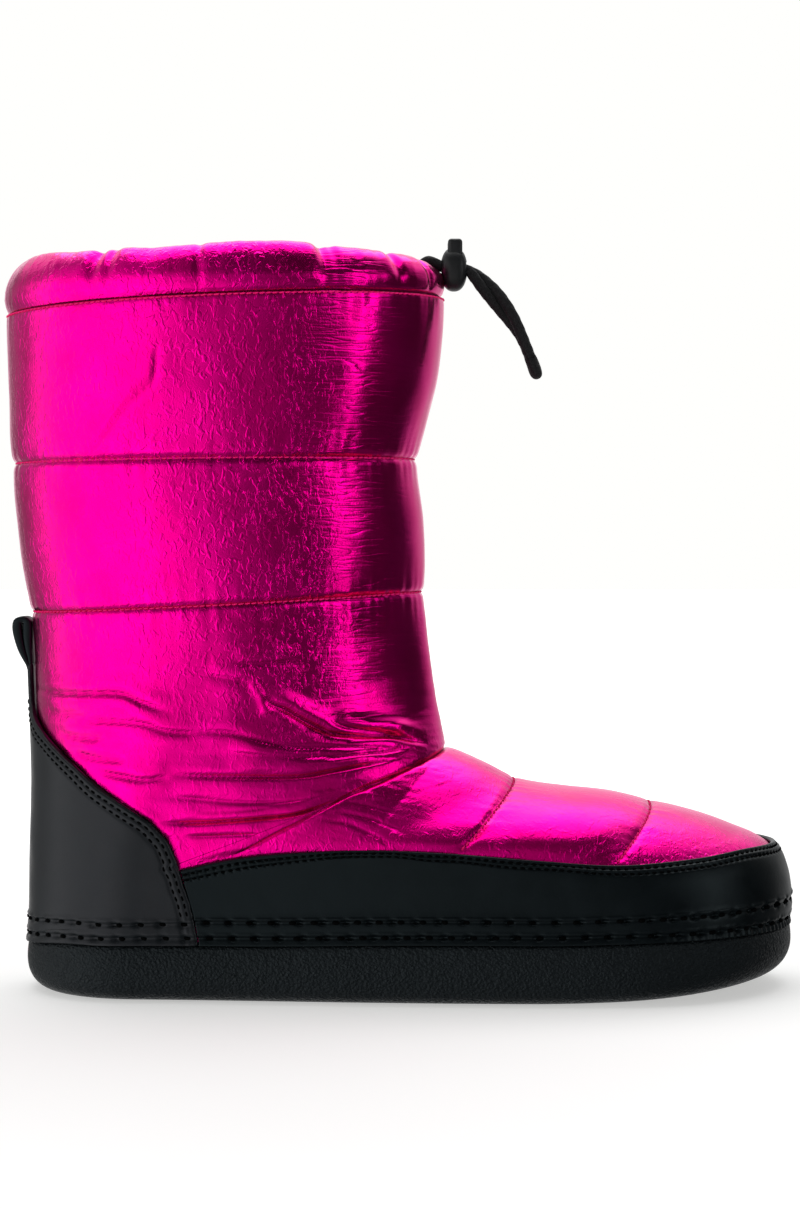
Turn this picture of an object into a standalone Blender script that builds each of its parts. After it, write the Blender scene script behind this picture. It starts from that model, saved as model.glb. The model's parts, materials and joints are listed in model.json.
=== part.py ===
"""Lined quilted snow boot for the right foot.

Lengths are millimetres in the boot's own frame: x runs from the back of the heel to the toe,
y towards the inner side of the foot and z up from the floor. MM turns them into metres.
"""

import math
from collections import namedtuple

import bmesh
import bpy
import numpy as np
from mathutils import Matrix, Vector

MM = 0.001

# Place along the boot of the floor point under its middle
CENTRE_X = 139.3

# The last: toe spring, and the curve of a right foot seen from above
SOLE_LENGTH = 285.0
BALL_X = 185.0
TOE_SPRING = 6.5
LAST_CURVE = [
    (0.0, 0.6),
    (60.0, -0.8),
    (130.0, -2.2),
    (190.0, -0.8),
    (240.0, 3.0),
    (285.0, 8.0),
]
CURVE_FADE_FROM = 55.0
CURVE_FADE_OVER = 60.0

# Seat of the upper on the sole: its height, and how far it rises along the sides
SEAT_HEIGHT = 18.0
SEAT_FADE_OVER = 32.0
SEAT_RISE = [
    (0.0, 0.0),
    (12.0, 2.2),
    (35.0, 3.0),
    (90.0, 3.4),
    (140.0, 4.3),
    (190.0, 4.4),
    (230.0, 3.9),
    (255.0, 2.2),
    (272.0, 0.6),
    (285.0, -1.0),
]

# Walls and gaps
WALL = 4.0
GAP = 0.3
OVERLAY_GAP = 0.52
MUDGUARD_THICKNESS = 1.6
FLANGE = 0.9
COUNTER_THICKNESS = 2.2

# Rings of the upper. Each lies in a plane across the boot, from a back point to a front point.
Ring = namedtuple(
    "Ring",
    "back_x back_z front_x front_z heel_half ball_half back_round front_round",
)
FOOT_RINGS = [
    Ring(3.0, 18.0, 283.2, 18.0, 34.5, 47.0, 38.0, 66.0),
    Ring(2.9, 18.8, 284.6, 25.0, 34.7, 47.4, 38.0, 66.0),
    Ring(2.9, 19.5, 284.5, 31.0, 34.9, 47.6, 38.0, 66.0),
    Ring(2.9, 20.3, 283.2, 37.5, 35.1, 47.6, 38.0, 66.0),
    Ring(2.9, 21.1, 280.0, 44.8, 35.3, 47.5, 38.5, 66.0),
    Ring(2.9, 21.8, 273.6, 50.6, 35.4, 47.4, 39.0, 67.0),
    Ring(2.9, 22.6, 264.2, 55.0, 35.6, 47.3, 39.0, 69.0),
    Ring(2.9, 23.4, 251.0, 60.2, 35.8, 47.2, 39.5, 73.0),
    Ring(2.9, 24.2, 236.5, 65.8, 35.9, 47.2, 40.0, 77.0),
    Ring(2.9, 24.9, 219.5, 70.4, 36.1, 47.2, 40.5, 82.0),
    Ring(2.9, 25.7, 201.0, 73.3, 36.2, 47.2, 41.0, 86.0),
    Ring(2.9, 26.5, 184.0, 76.6, 36.4, 47.2, 41.5, 88.0),
    Ring(2.9, 27.2, 169.5, 82.6, 36.6, 47.2, 42.0, 85.0),
    Ring(2.9, 28.0, 156.1, 89.2, 36.8, 47.3, 43.0, 80.0),
]
SHAFT_RINGS = [
    Ring(2.9, 28.0, 156.1, 89.2, 36.8, 47.3, 43.0, 80.0),
    Ring(3.3, 52.0, 153.4, 106.0, 40.5, 47.8, 48.0, 78.0),
    Ring(3.8, 80.0, 151.4, 121.0, 44.5, 48.6, 57.0, 76.0),
    Ring(2.9, 110.0, 149.6, 135.0, 47.8, 49.4, 66.0, 74.0),
    Ring(1.5, 140.0, 148.0, 147.4, 50.0, 50.0, 73.0, 73.0),
    Ring(-2.0, 167.0, 147.0, 172.0, 51.8, 51.8, 74.0, 74.0),
    Ring(-5.1, 195.0, 145.4, 196.7, 53.5, 53.5, 75.0, 75.0),
    Ring(-4.6, 222.0, 150.9, 227.0, 55.6, 55.6, 77.4, 77.4),
    Ring(-7.6, 250.0, 155.3, 257.0, 58.0, 58.0, 81.0, 81.0),
]
ANKLE_ROW = len(FOOT_RINGS) - 1
TOP_ROW = ANKLE_ROW + len(SHAFT_RINGS) - 1

# Quilting: seam rows round the shaft, and seams over the vamp placed by x minus z
SHAFT_SEAM_ROWS = [13.0, 17.0, 19.0, 21.0]
SHAFT_PUFFS = [0.0, 1.3, 2.2]
VAMP_SEAMS = [66.5, 104.5, 166.0, 229.0]
VAMP_PUFF = 1.2
DOME_POWER = 0.7
PUFF_FADE_FROM = 50.0
PUFF_FADE_OVER = 10.0

# Mesh counts of the upper
AROUND = 48
FOOT_STEPS = 14
SHAFT_STEPS = 12

# Top edge of the mudguard, and front edge of the heel counter, seen from the side
MUDGUARD_TOP = [
    (55.0, 47.6),
    (80.0, 53.2),
    (118.0, 56.2),
    (153.0, 55.5),
    (189.0, 52.4),
    (217.0, 49.5),
    (246.0, 48.7),
    (265.0, 48.4),
    (284.0, 46.0),
]
COUNTER_EDGE = [
    (18.0, 67.0),
    (32.0, 64.5),
    (41.0, 62.4),
    (51.4, 59.7),
    (59.4, 56.2),
    (66.5, 49.7),
    (72.3, 40.4),
    (78.3, 30.9),
    (85.0, 23.0),
    (91.6, 14.7),
    (98.0, 7.4),
    (102.5, 4.6),
    (106.0, 3.4),
]
MUDGUARD_COLUMNS = 56
MUDGUARD_ROWS = 5
COUNTER_COLUMNS = 16
COUNTER_ROWS = 17
COUNTER_LOW_ROWS = 3
TAIL_HALF_WIDTH = 6.5
TAIL_TOP = 120.4

# Outsole: how far it stands out from the upper, and its side from the top edge to the floor
SOLE_OVERHANG = 2.9
SOLE_SIDE = [
    (17.7, 0.9),
    (16.7, 0.1),
    (11.5, -0.3),
    (7.0, 0.4),
    (3.4, 2.4),
    (1.0, 5.6),
    (0.0, 9.5),
]
LUG_DEPTH = 2.6
LUG_GROOVE = 5.0
LUG_GROOVE_XS = [22.0, 38.0, 54.0, 70.0, 130.0, 147.0, 164.0, 181.0, 198.0, 215.0, 232.0]
LUG_BORDER = 15.0

# Insole
INSOLE_THICKNESS = 3.0
INSOLE_CLEARANCE = 0.6

# Collar casing: outward offset from the seam, and height as a share of the band
CASING_TOP_BACK = 270.4
CASING_TOP_FRONT = 269.6
CASING_FRONT_DENT = 0.7
CASING_SECTION = [
    (-0.8, 0.0),
    (0.5, 0.2),
    (0.4, 0.4),
    (-0.9, 0.63),
    (-2.8, 0.81),
    (-5.2, 0.94),
    (-7.6, 1.0),
    (-9.5, 0.92),
    (-10.2, 0.7),
    (-9.2, 0.35),
    (-6.8, 0.0),
]
CASING_SLOT_CENTRE = (146.8, 0.0, 270.6)
CASING_SLOT_SIZE = (7.0, 8.6, 10.0)

# Pull loop at the top of the counter's tail: side path of the folded strip
LOOP_WIDTH = 13.0
LOOP_STRIP = 1.4
LOOP_PATH = [
    (-1.4, 121.2),
    (-2.0, 123.8),
    (-3.5, 128.2),
    (-4.6, 132.5),
    (-4.9, 136.0),
    (-4.1, 137.7),
    (-2.5, 138.2),
    (-1.0, 137.6),
    (-0.4, 135.5),
    (-0.2, 130.0),
    (0.0, 125.0),
    (0.2, 121.2),
]

# Cord lock, with the button's socket, slot and room for the cords
LOCK_X = 159.7
LOCK_DEPTH = 8.4
LOCK_WIDTH = 13.8
LOCK_BOTTOM = 259.8
LOCK_TOP = 275.4
LOCK_ROUND = 2.2
LOCK_SIDES = 20
LOCK_SOCKET_FLOOR = 261.0
BUTTON_DEPTH = 5.4
BUTTON_WIDTH = 10.2
BUTTON_CLEARANCE = 0.15
BUTTON_BOTTOM = 264.3
BUTTON_TOP = 279.2
BUTTON_ROUND = 0.9
BUTTON_SLOT_BOTTOM = 265.9
BUTTON_SLOT_TOP = 273.6
CORD_HOLE_WIDTH = 7.8
CORD_HOLE_BOTTOM = 265.8
CORD_HOLE_TOP = 270.9

# Drawcord: centre line of the pair seen from the side, and the turn of the pair about it
CORD_RADIUS = 1.7
CORD_SPREAD = 1.9
CORD_STEPS = 20
CordPoint = namedtuple("CordPoint", "x z turn_deg")
CORD_ROUTE = [
    CordPoint(145.6, 268.2, 0.0),
    CordPoint(149.8, 270.9, 0.0),
    CordPoint(154.7, 269.1, 0.0),
    CordPoint(159.7, 268.3, 0.0),
    CordPoint(164.2, 267.9, 4.0),
    CordPoint(167.6, 265.4, 30.0),
    CordPoint(171.1, 261.8, 62.0),
    CordPoint(174.5, 258.0, 92.0),
    CordPoint(178.1, 253.4, 122.0),
    CordPoint(181.4, 248.6, 150.0),
    CordPoint(184.1, 244.0, 172.0),
    CordPoint(186.2, 239.4, 180.0),
    CordPoint(188.0, 234.8, 180.0),
]
TIP_LENGTH = 8.0
TIP_WIDTH = 7.8
TIP_DEPTH = 5.2

# Colours
PINK = (0.85, 0.0, 0.30, 1.0)
BLACK_LEATHER = (0.012, 0.013, 0.015, 1.0)
BLACK_RUBBER = (0.018, 0.018, 0.020, 1.0)
BLACK_PLASTIC = (0.010, 0.010, 0.011, 1.0)
BLACK_CORD = (0.011, 0.010, 0.011, 1.0)
GREY_FELT = (0.060, 0.060, 0.065, 1.0)

# Sampling of the upper's surface
RING_SAMPLES = 241
ROW_SAMPLES = 12
NORMAL_STEP_U = 0.004
NORMAL_STEP_V = 0.25


def smoothstep(t):
    t = np.clip(t, 0.0, 1.0)
    return t * t * (3.0 - 2.0 * t)


def unit(vectors):
    return vectors / np.linalg.norm(vectors, axis=-1, keepdims=True)


def read_table(rows, at):
    """A two-column table read at any place, with a smooth curve through its rows."""
    xs, ys = np.array(rows, float).T
    at = np.clip(np.asarray(at, float), xs[0], xs[-1])
    slopes = np.gradient(ys, xs)
    i = np.clip(np.searchsorted(xs, at, side="right") - 1, 0, len(xs) - 2)
    width = xs[i + 1] - xs[i]
    t = (at - xs[i]) / width
    rise = (2 * t**3 - 3 * t**2 + 1) * ys[i] + (3 * t**2 - 2 * t**3) * ys[i + 1]
    bend = (t**3 - 2 * t**2 + t) * slopes[i] + (t**3 - t**2) * slopes[i + 1]
    return rise + bend * width


def read_rows(rows, at):
    """Rows of a table at fractional row numbers, with a smooth curve through them."""
    rows = np.array(rows, float)
    rows = np.vstack([2 * rows[0] - rows[1], rows, 2 * rows[-1] - rows[-2]])
    i = np.clip(np.floor(at).astype(int), 0, len(rows) - 4)
    t = (at - i)[:, None]
    a, b, c, d = rows[i], rows[i + 1], rows[i + 2], rows[i + 3]
    return b + 0.5 * t * (c - a + t * (2 * a - 5 * b + 4 * c - d + t * (3 * (b - c) + d - a)))


def half_ring(row):
    """Points from the front to the back of one ring, evenly spaced round it, y outwards."""
    ring = Ring(*row)
    length = math.hypot(ring.front_x - ring.back_x, ring.front_z - ring.back_z)
    along = length * (1.0 + np.cos(np.linspace(0.0, math.pi, RING_SAMPLES))) / 2.0
    share = along / length
    front = np.clip((length - along) / ring.front_round, 0.0, 1.0)
    back = np.clip(along / ring.back_round, 0.0, 1.0)
    half = ring.heel_half + (ring.ball_half - ring.heel_half) * smoothstep(share)
    half = half * np.sqrt(1.0 - (1.0 - front) ** 2) * np.sqrt(1.0 - (1.0 - back) ** 2)
    walked = np.concatenate([[0.0], np.cumsum(np.hypot(np.diff(along), np.diff(half)))])
    even = np.linspace(0.0, walked[-1], RING_SAMPLES)
    share = np.interp(even, walked, share)
    half = np.interp(even, walked, half)
    x = ring.back_x + (ring.front_x - ring.back_x) * share
    z = ring.back_z + (ring.front_z - ring.back_z) * share
    return np.stack([x, half, z], axis=-1)


def skin_samples():
    foot_at = np.arange(ANKLE_ROW * ROW_SAMPLES + 1) / ROW_SAMPLES
    shaft_at = np.arange(1, (TOP_ROW - ANKLE_ROW) * ROW_SAMPLES + 1) / ROW_SAMPLES
    rows = np.vstack([read_rows(FOOT_RINGS, foot_at), read_rows(SHAFT_RINGS, shaft_at)])
    return np.stack([half_ring(row) for row in rows])


SKIN = skin_samples()


def wrapped(u):
    return (np.asarray(u, float) + 0.5) % 1.0 - 0.5


def skin(u, v):
    """Point of the straight upper: u is 0 at the toe and half a turn at the heel, v the row."""
    u, v = np.broadcast_arrays(wrapped(u), np.asarray(v, float))
    down = np.clip(v * ROW_SAMPLES, 0.0, SKIN.shape[0] - 1.000001)
    across = np.clip(np.abs(u) * 2.0 * (RING_SAMPLES - 1), 0.0, RING_SAMPLES - 1.000001)
    i, j = down.astype(int), across.astype(int)
    a, b = (down - i)[..., None], (across - j)[..., None]
    low = SKIN[i, j] * (1 - b) + SKIN[i, j + 1] * b
    high = SKIN[i + 1, j] * (1 - b) + SKIN[i + 1, j + 1] * b
    point = low * (1 - a) + high * a
    point[..., 1] *= np.where(u < 0.0, -1.0, 1.0)
    return point


def skin_normal(u, v):
    v = np.asarray(v, float)
    around = skin(u + NORMAL_STEP_U, v) - skin(u - NORMAL_STEP_U, v)
    up = skin(u, np.minimum(v + NORMAL_STEP_V, TOP_ROW))
    up = up - skin(u, np.maximum(v - NORMAL_STEP_V, 0.0))
    return unit(np.cross(around, up))


def plan_normal(u, v):
    return unit(skin_normal(u, v) * np.array([1.0, 1.0, 0.0]))


def dome(t):
    return np.sin(math.pi * np.clip(t, 0.0, 1.0)) ** DOME_POWER


def quilt_puff(u, v):
    """How far the padding stands out between the quilt seams."""
    point = skin(u, v)
    v = np.broadcast_to(np.asarray(v, float), point.shape[:-1])
    place = point[..., 0] - point[..., 2]
    puff = np.zeros_like(place)
    for near, far in zip(VAMP_SEAMS[:-1], VAMP_SEAMS[1:]):
        puff += VAMP_PUFF * dome((place - near) / (far - near))
    puff *= smoothstep((point[..., 2] - PUFF_FADE_FROM) / PUFF_FADE_OVER)
    puff *= v < ANKLE_ROW
    for low, high, size in zip(SHAFT_SEAM_ROWS[:-1], SHAFT_SEAM_ROWS[1:], SHAFT_PUFFS):
        puff += size * dome((v - low) / (high - low))
    return puff


def padded(u, v, outwards):
    """Point a given distance outside the padded upper; the lowest row moves level."""
    normal = np.where(np.asarray(v)[..., None] > 0.0, skin_normal(u, v), plan_normal(u, v))
    return skin(u, v) + normal * (quilt_puff(u, v) + outwards)[..., None]


def toe_rise(x):
    return TOE_SPRING * np.clip((x - BALL_X) / (SOLE_LENGTH - BALL_X), 0.0, 1.2) ** 2


def bent(points):
    """Toe spring, seat rise and the right foot's curve, given to points of the straight boot."""
    points = np.array(points, float)
    x, z = points[..., 0].copy(), points[..., 2].copy()
    fade = 1.0 - smoothstep((z - CURVE_FADE_FROM) / CURVE_FADE_OVER)
    seat = smoothstep(z / SEAT_HEIGHT) * (1.0 - smoothstep((z - SEAT_HEIGHT) / SEAT_FADE_OVER))
    points[..., 1] += read_table(LAST_CURVE, x) * fade
    points[..., 2] += toe_rise(x) + read_table(SEAT_RISE, x) * seat
    return points


def ring_u():
    return wrapped(np.arange(AROUND) / AROUND)


def material(name, colour, roughness, metallic=0.0):
    made = bpy.data.materials.new(name)
    made.use_nodes = True
    shader = made.node_tree.nodes["Principled BSDF"]
    shader.inputs["Base Color"].default_value = colour
    shader.inputs["Roughness"].default_value = roughness
    shader.inputs["Metallic"].default_value = metallic
    made.diffuse_color = colour
    return made


def add_object(name, data, surface, parent, collection, at=(0.0, 0.0, 0.0)):
    """An object under the boot's empty, at a place given in millimetres."""
    made = bpy.data.objects.new(name, data)
    made.location = Vector(at) * MM
    made.parent = parent
    if surface is not None:
        data.materials.append(surface)
    collection.objects.link(made)
    return made


def mesh_of(name, bm):
    mesh = bpy.data.meshes.new(name)
    bm.to_mesh(mesh)
    bm.free()
    return mesh


def box_mesh(name, boxes):
    """Cubes scaled to sizes and set at centres, both in millimetres."""
    bm = bmesh.new()
    for centre, size in boxes:
        place = Matrix.Translation(Vector(centre) * MM) @ Matrix.Diagonal((*(Vector(size) * MM), 1.0))
        bmesh.ops.create_cube(bm, size=1.0, matrix=place)
    return mesh_of(name, bm)


def loft_mesh(name, grid, around, capped=False, ring=False):
    """Faces between rows of points: open, closed into a ring, or capped across the foot."""
    rows, columns = grid.shape[:2]
    bm = bmesh.new()
    verts = [[bm.verts.new(point) for point in row] for row in (grid * MM).tolist()]
    for i in range(rows if ring else rows - 1):
        low, high = verts[i], verts[(i + 1) % rows]
        for j in range(columns if around else columns - 1):
            k = (j + 1) % columns
            bm.faces.new((low[j], low[k], high[k], high[j]))
    for row in (verts[0], verts[-1]) if capped else ():
        bm.faces.new((row[0], row[1], row[-1]))
        for k in range(1, columns // 2 - 1):
            bm.faces.new((row[k], row[k + 1], row[-k - 1], row[-k]))
        middle = columns // 2
        bm.faces.new((row[middle - 1], row[middle], row[middle + 1]))
    if capped or ring:
        bmesh.ops.recalc_face_normals(bm, faces=bm.faces)
    return mesh_of(name, bm)


def solidify(item, thickness, offset):
    step = item.modifiers.new("wall", "SOLIDIFY")
    step.thickness = thickness * MM
    step.offset = offset


def bevel(item, width, segments):
    step = item.modifiers.new("round_edges", "BEVEL")
    step.width = width * MM
    step.segments = segments
    step.limit_method = "ANGLE"


def cut(item, cutter):
    step = item.modifiers.new(cutter.name, "BOOLEAN")
    step.operation = "DIFFERENCE"
    step.solver = "EXACT"
    step.object = cutter
    cutter.hide_render = True
    cutter.display_type = "WIRE"


def mudguard_row(u):
    """Row at which each column of the skin reaches the mudguard's top edge."""
    rows = np.linspace(0.0, ANKLE_ROW + 2.0, 601)
    found = []
    for one in np.atleast_1d(u):
        points = skin(one, rows)
        over = points[:, 2] - read_table(MUDGUARD_TOP, points[:, 0])
        first = int(np.argmax(over > 0.0))
        found.append(np.interp(0.0, over[first - 1 : first + 1], rows[first - 1 : first + 1]))
    return np.array(found)


def ahead_of_counter(point):
    heights, edges = np.array(COUNTER_EDGE).T
    return point[..., 0] - np.interp(point[..., 2], heights, edges)


def build_upper(boot, parts):
    foot = np.linspace(0.0, ANKLE_ROW, FOOT_STEPS + 1)
    shaft = np.linspace(ANKLE_ROW, TOP_ROW, SHAFT_STEPS + 1)[1:]
    v = np.concatenate([foot, shaft])[:, None]
    grid = bent(padded(ring_u()[None, :], v, 0.0))
    pink = material("pink_shell", PINK, 0.28, 1.0)
    upper = add_object("upper", loft_mesh("upper", grid, True), pink, boot, parts)
    solidify(upper, WALL, -1.0)


def build_mudguard(boot, parts):
    grid = []
    across = np.linspace(-1.0, 1.0, MUDGUARD_COLUMNS + 1)
    sampled = np.linspace(0.1, 0.45, 351)
    tops = mudguard_row(sampled)
    for share in np.linspace(0.0, 1.0, MUDGUARD_ROWS + 1):
        clear = ahead_of_counter(skin(sampled, share * tops)) - GAP
        end = np.interp(0.0, -clear, sampled)
        u = across * end
        flare = FLANGE if share == 0.0 else 0.0
        grid.append(padded(u, share * mudguard_row(u), OVERLAY_GAP + flare))
    leather = material("mudguard_leather", BLACK_LEATHER, 0.42)
    mesh = loft_mesh("mudguard", bent(np.array(grid)), False)
    mudguard = add_object("mudguard", mesh, leather, boot, parts)
    solidify(mudguard, MUDGUARD_THICKNESS, 1.0)


def build_counter(boot, parts):
    rows = np.linspace(0.0, TOP_ROW, 801)
    back_heights = skin(0.5, rows)[:, 2]
    edge_top = np.interp(COUNTER_EDGE[-1][0], back_heights, rows)
    tail_top = np.interp(TAIL_TOP, back_heights, rows)
    low = np.linspace(0.0, ANKLE_ROW, COUNTER_LOW_ROWS, endpoint=False)
    body = np.linspace(ANKLE_ROW, edge_top, COUNTER_ROWS)
    tail = np.linspace(edge_top, tail_top, 4)[1:]
    across = np.linspace(-1.0, 1.0, COUNTER_COLUMNS + 1)
    sampled = np.linspace(0.1, 0.5, 801)
    grid = []
    for v in np.concatenate([low, body, tail]):
        line = skin(sampled, v)
        girth = np.linalg.norm(np.diff(line, axis=0), axis=1).sum()
        reach = (sampled[-1] - sampled[0]) * TAIL_HALF_WIDTH / girth
        if v < edge_top:
            behind = sampled[ahead_of_counter(line) < 0.0][0]
            reach = max(reach, 0.5 - behind)
        u = wrapped(0.5 + across * reach)
        flare = FLANGE if v == 0.0 else 0.0
        grid.append(padded(u, np.full_like(u, v), OVERLAY_GAP + flare))
    leather = material("counter_leather", BLACK_LEATHER, 0.40)
    mesh = loft_mesh("heel_counter", bent(np.array(grid)), False)
    counter = add_object("heel_counter", mesh, leather, boot, parts)
    solidify(counter, COUNTER_THICKNESS, 1.0)


def build_outsole(boot, parts, cutters):
    u = ring_u()
    base, normal = skin(u, 0.0), plan_normal(u, 0.0)
    rings = []
    for height, inset in reversed(SOLE_SIDE):
        ring = base + normal * (SOLE_OVERHANG - inset)
        ring[:, 2] = height
        rings.append(ring)
    rubber = material("sole_rubber", BLACK_RUBBER, 0.6)
    mesh = loft_mesh("outsole", bent(np.array(rings)), True, capped=True)
    sole = add_object("outsole", mesh, rubber, boot, parts)
    inner_edge = (base - normal * LUG_BORDER)[u > 0.0]
    inner_edge = inner_edge[np.argsort(inner_edge[:, 0])]
    grooves = []
    for x in LUG_GROOVE_XS:
        half = np.interp(x, inner_edge[:, 0], inner_edge[:, 1])
        centre = (x, read_table(LAST_CURVE, x), toe_rise(x))
        grooves.append((centre, (LUG_GROOVE, 2.0 * half, 2.0 * LUG_DEPTH)))
    cut(sole, add_object("lug_grooves", box_mesh("lug_grooves", grooves), None, boot, cutters))


def build_insole(boot, parts):
    u = ring_u()
    low = skin(u, 0.0) - plan_normal(u, 0.0) * (WALL + INSOLE_CLEARANCE)
    high = low + np.array([0.0, 0.0, INSOLE_THICKNESS])
    felt = material("insole_felt", GREY_FELT, 0.9)
    mesh = loft_mesh("insole", bent(np.array([low, high])), True, capped=True)
    add_object("insole", mesh, felt, boot, parts)


def build_casing(boot, parts, cutters):
    u = ring_u()
    seam, normal = skin(u, TOP_ROW), plan_normal(u, TOP_ROW)
    share = (seam[:, 0] - seam[:, 0].min()) / np.ptp(seam[:, 0])
    foot = seam[:, 2] + GAP
    top = CASING_TOP_BACK + (CASING_TOP_FRONT - CASING_TOP_BACK) * share
    rings = []
    for offset, height in CASING_SECTION:
        outwards = offset - CASING_FRONT_DENT * share
        ring = seam + normal * outwards[:, None]
        ring[:, 2] = foot + (top - foot) * height
        rings.append(ring)
    pink = material("pink_casing", PINK, 0.28, 1.0)
    mesh = loft_mesh("collar_casing", np.array(rings), True, ring=True)
    casing = add_object("collar_casing", mesh, pink, boot, parts)
    slot = box_mesh("casing_slot", [(CASING_SLOT_CENTRE, CASING_SLOT_SIZE)])
    cut(casing, add_object("casing_slot", slot, None, boot, cutters))


def build_loop(boot, parts):
    half = LOOP_WIDTH / 2.0
    grid = np.array([[(x, y, z) for x, z in LOOP_PATH] for y in (-half, half)])
    leather = material("loop_leather", BLACK_LEATHER, 0.5)
    loop = add_object("pull_loop", loft_mesh("pull_loop", grid, False), leather, boot, parts)
    solidify(loop, LOOP_STRIP, 0.0)


def build_barrel(boot, parts, cutters):
    height = LOCK_TOP - LOCK_BOTTOM
    bm = bmesh.new()
    bmesh.ops.create_cone(
        bm,
        cap_ends=True,
        segments=LOCK_SIDES,
        radius1=LOCK_WIDTH * MM / 2,
        radius2=LOCK_WIDTH * MM / 2,
        depth=height * MM,
    )
    bmesh.ops.scale(bm, vec=(LOCK_DEPTH / LOCK_WIDTH, 1.0, 1.0), verts=bm.verts)
    plastic = material("lock_plastic", BLACK_PLASTIC, 0.35)
    centre = (LOCK_X, 0.0, LOCK_BOTTOM + height / 2)
    barrel = add_object("toggle_barrel", mesh_of("toggle_barrel", bm), plastic, boot, parts, centre)
    bevel(barrel, LOCK_ROUND, 3)
    clear = 2.0 * BUTTON_CLEARANCE
    socket_height = 2.0 * (LOCK_TOP - LOCK_SOCKET_FLOOR)
    socket_size = (BUTTON_DEPTH + clear, BUTTON_WIDTH + clear, socket_height)
    socket = box_mesh("lock_socket", [((LOCK_X, 0.0, LOCK_TOP), socket_size)])
    cut(barrel, add_object("lock_socket", socket, None, boot, cutters))
    hole_size = (2.0 * LOCK_DEPTH, CORD_HOLE_WIDTH, CORD_HOLE_TOP - CORD_HOLE_BOTTOM)
    hole_centre = (LOCK_X, 0.0, (CORD_HOLE_TOP + CORD_HOLE_BOTTOM) / 2)
    hole = box_mesh("lock_cord_hole", [(hole_centre, hole_size)])
    cut(barrel, add_object("lock_cord_hole", hole, None, boot, cutters))


def build_button(boot, parts, cutters):
    height = BUTTON_TOP - BUTTON_BOTTOM
    block = box_mesh("toggle_button", [((0.0, 0.0, height / 2), (BUTTON_DEPTH, BUTTON_WIDTH, height))])
    plastic = material("button_plastic", BLACK_PLASTIC, 0.35)
    base = (LOCK_X, 0.0, BUTTON_BOTTOM)
    button = add_object("toggle_button", block, plastic, boot, parts, base)
    bevel(button, BUTTON_ROUND, 2)
    slot_size = (2.0 * LOCK_DEPTH, CORD_HOLE_WIDTH, BUTTON_SLOT_TOP - BUTTON_SLOT_BOTTOM)
    slot_centre = (LOCK_X, 0.0, (BUTTON_SLOT_TOP + BUTTON_SLOT_BOTTOM) / 2)
    slot = box_mesh("button_slot", [(slot_centre, slot_size)])
    cut(button, add_object("button_slot", slot, None, boot, cutters))


def cord_centre():
    """Points along the pair of strands, the pair's turn, and the direction ahead."""
    rows = read_rows(CORD_ROUTE, np.linspace(0.0, len(CORD_ROUTE) - 1.0, CORD_STEPS + 1))
    line = np.stack([rows[:, 0], np.zeros(len(rows)), rows[:, 1]], axis=-1)
    return line, np.radians(rows[:, 2]), unit(np.gradient(line, axis=0))


def build_strand(name, side, boot, parts):
    line, turn, ahead = cord_centre()
    across = np.array([0.0, 1.0, 0.0])
    over = np.cross(ahead, across)
    spread = np.cos(turn)[:, None] * across + np.sin(turn)[:, None] * over
    path = (line + side * CORD_SPREAD * spread) * MM
    curve = bpy.data.curves.new(name, "CURVE")
    curve.dimensions = "3D"
    curve.bevel_depth = CORD_RADIUS * MM
    curve.bevel_resolution = 2
    curve.use_fill_caps = True
    spline = curve.splines.new("POLY")
    spline.points.add(len(path) - 1)
    for point, place in zip(spline.points, path):
        point.co = (*place, 1.0)
    add_object(name, curve, material(name + "_braid", BLACK_CORD, 0.7), boot, parts)


def build_tip(boot, parts):
    line, _, ahead = cord_centre()
    bm = bmesh.new()
    bmesh.ops.create_uvsphere(bm, u_segments=12, v_segments=8, radius=0.5 * MM)
    bmesh.ops.scale(bm, vec=(TIP_DEPTH, TIP_WIDTH, TIP_LENGTH), verts=bm.verts)
    sealed = material("tip_sealed_cord", BLACK_CORD, 0.5)
    centre = line[-1] + ahead[-1] * (TIP_LENGTH / 2 + GAP)
    tip = add_object("drawcord_tip", mesh_of("drawcord_tip", bm), sealed, boot, parts, centre)
    tip.rotation_euler.y = math.atan2(ahead[-1][0], ahead[-1][2])


def main():
    for item in list(bpy.data.objects):
        bpy.data.objects.remove(item, do_unlink=True)
    parts = bpy.data.collections.new("lined_bootie")
    cutters = bpy.data.collections.new("cutters")
    bpy.context.scene.collection.children.link(parts)
    bpy.context.scene.collection.children.link(cutters)
    boot = bpy.data.objects.new("boot", None)
    boot.location.x = -CENTRE_X * MM
    parts.objects.link(boot)
    build_outsole(boot, parts, cutters)
    build_insole(boot, parts)
    build_upper(boot, parts)
    build_casing(boot, parts, cutters)
    build_mudguard(boot, parts)
    build_counter(boot, parts)
    build_loop(boot, parts)
    build_strand("drawcord_lateral", -1.0, boot, parts)
    build_strand("drawcord_medial", 1.0, boot, parts)
    build_tip(boot, parts)
    build_barrel(boot, parts, cutters)
    build_button(boot, parts, cutters)


main()
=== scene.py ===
"""Looks of the lined quilted snow boot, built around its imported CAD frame.

Lengths are millimetres in the boot's own frame, as in the part's source: x runs from the back of
the heel to the toe, y towards the inner side of the foot and z up. Meshes are made in metres in
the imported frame, where x is 0 under the middle of the boot. Materials, floor, lights and camera
are given in metres too.
"""

import json
import math
from collections import namedtuple

import bmesh
import bpy
import numpy as np
from mathutils import Matrix, Vector

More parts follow.
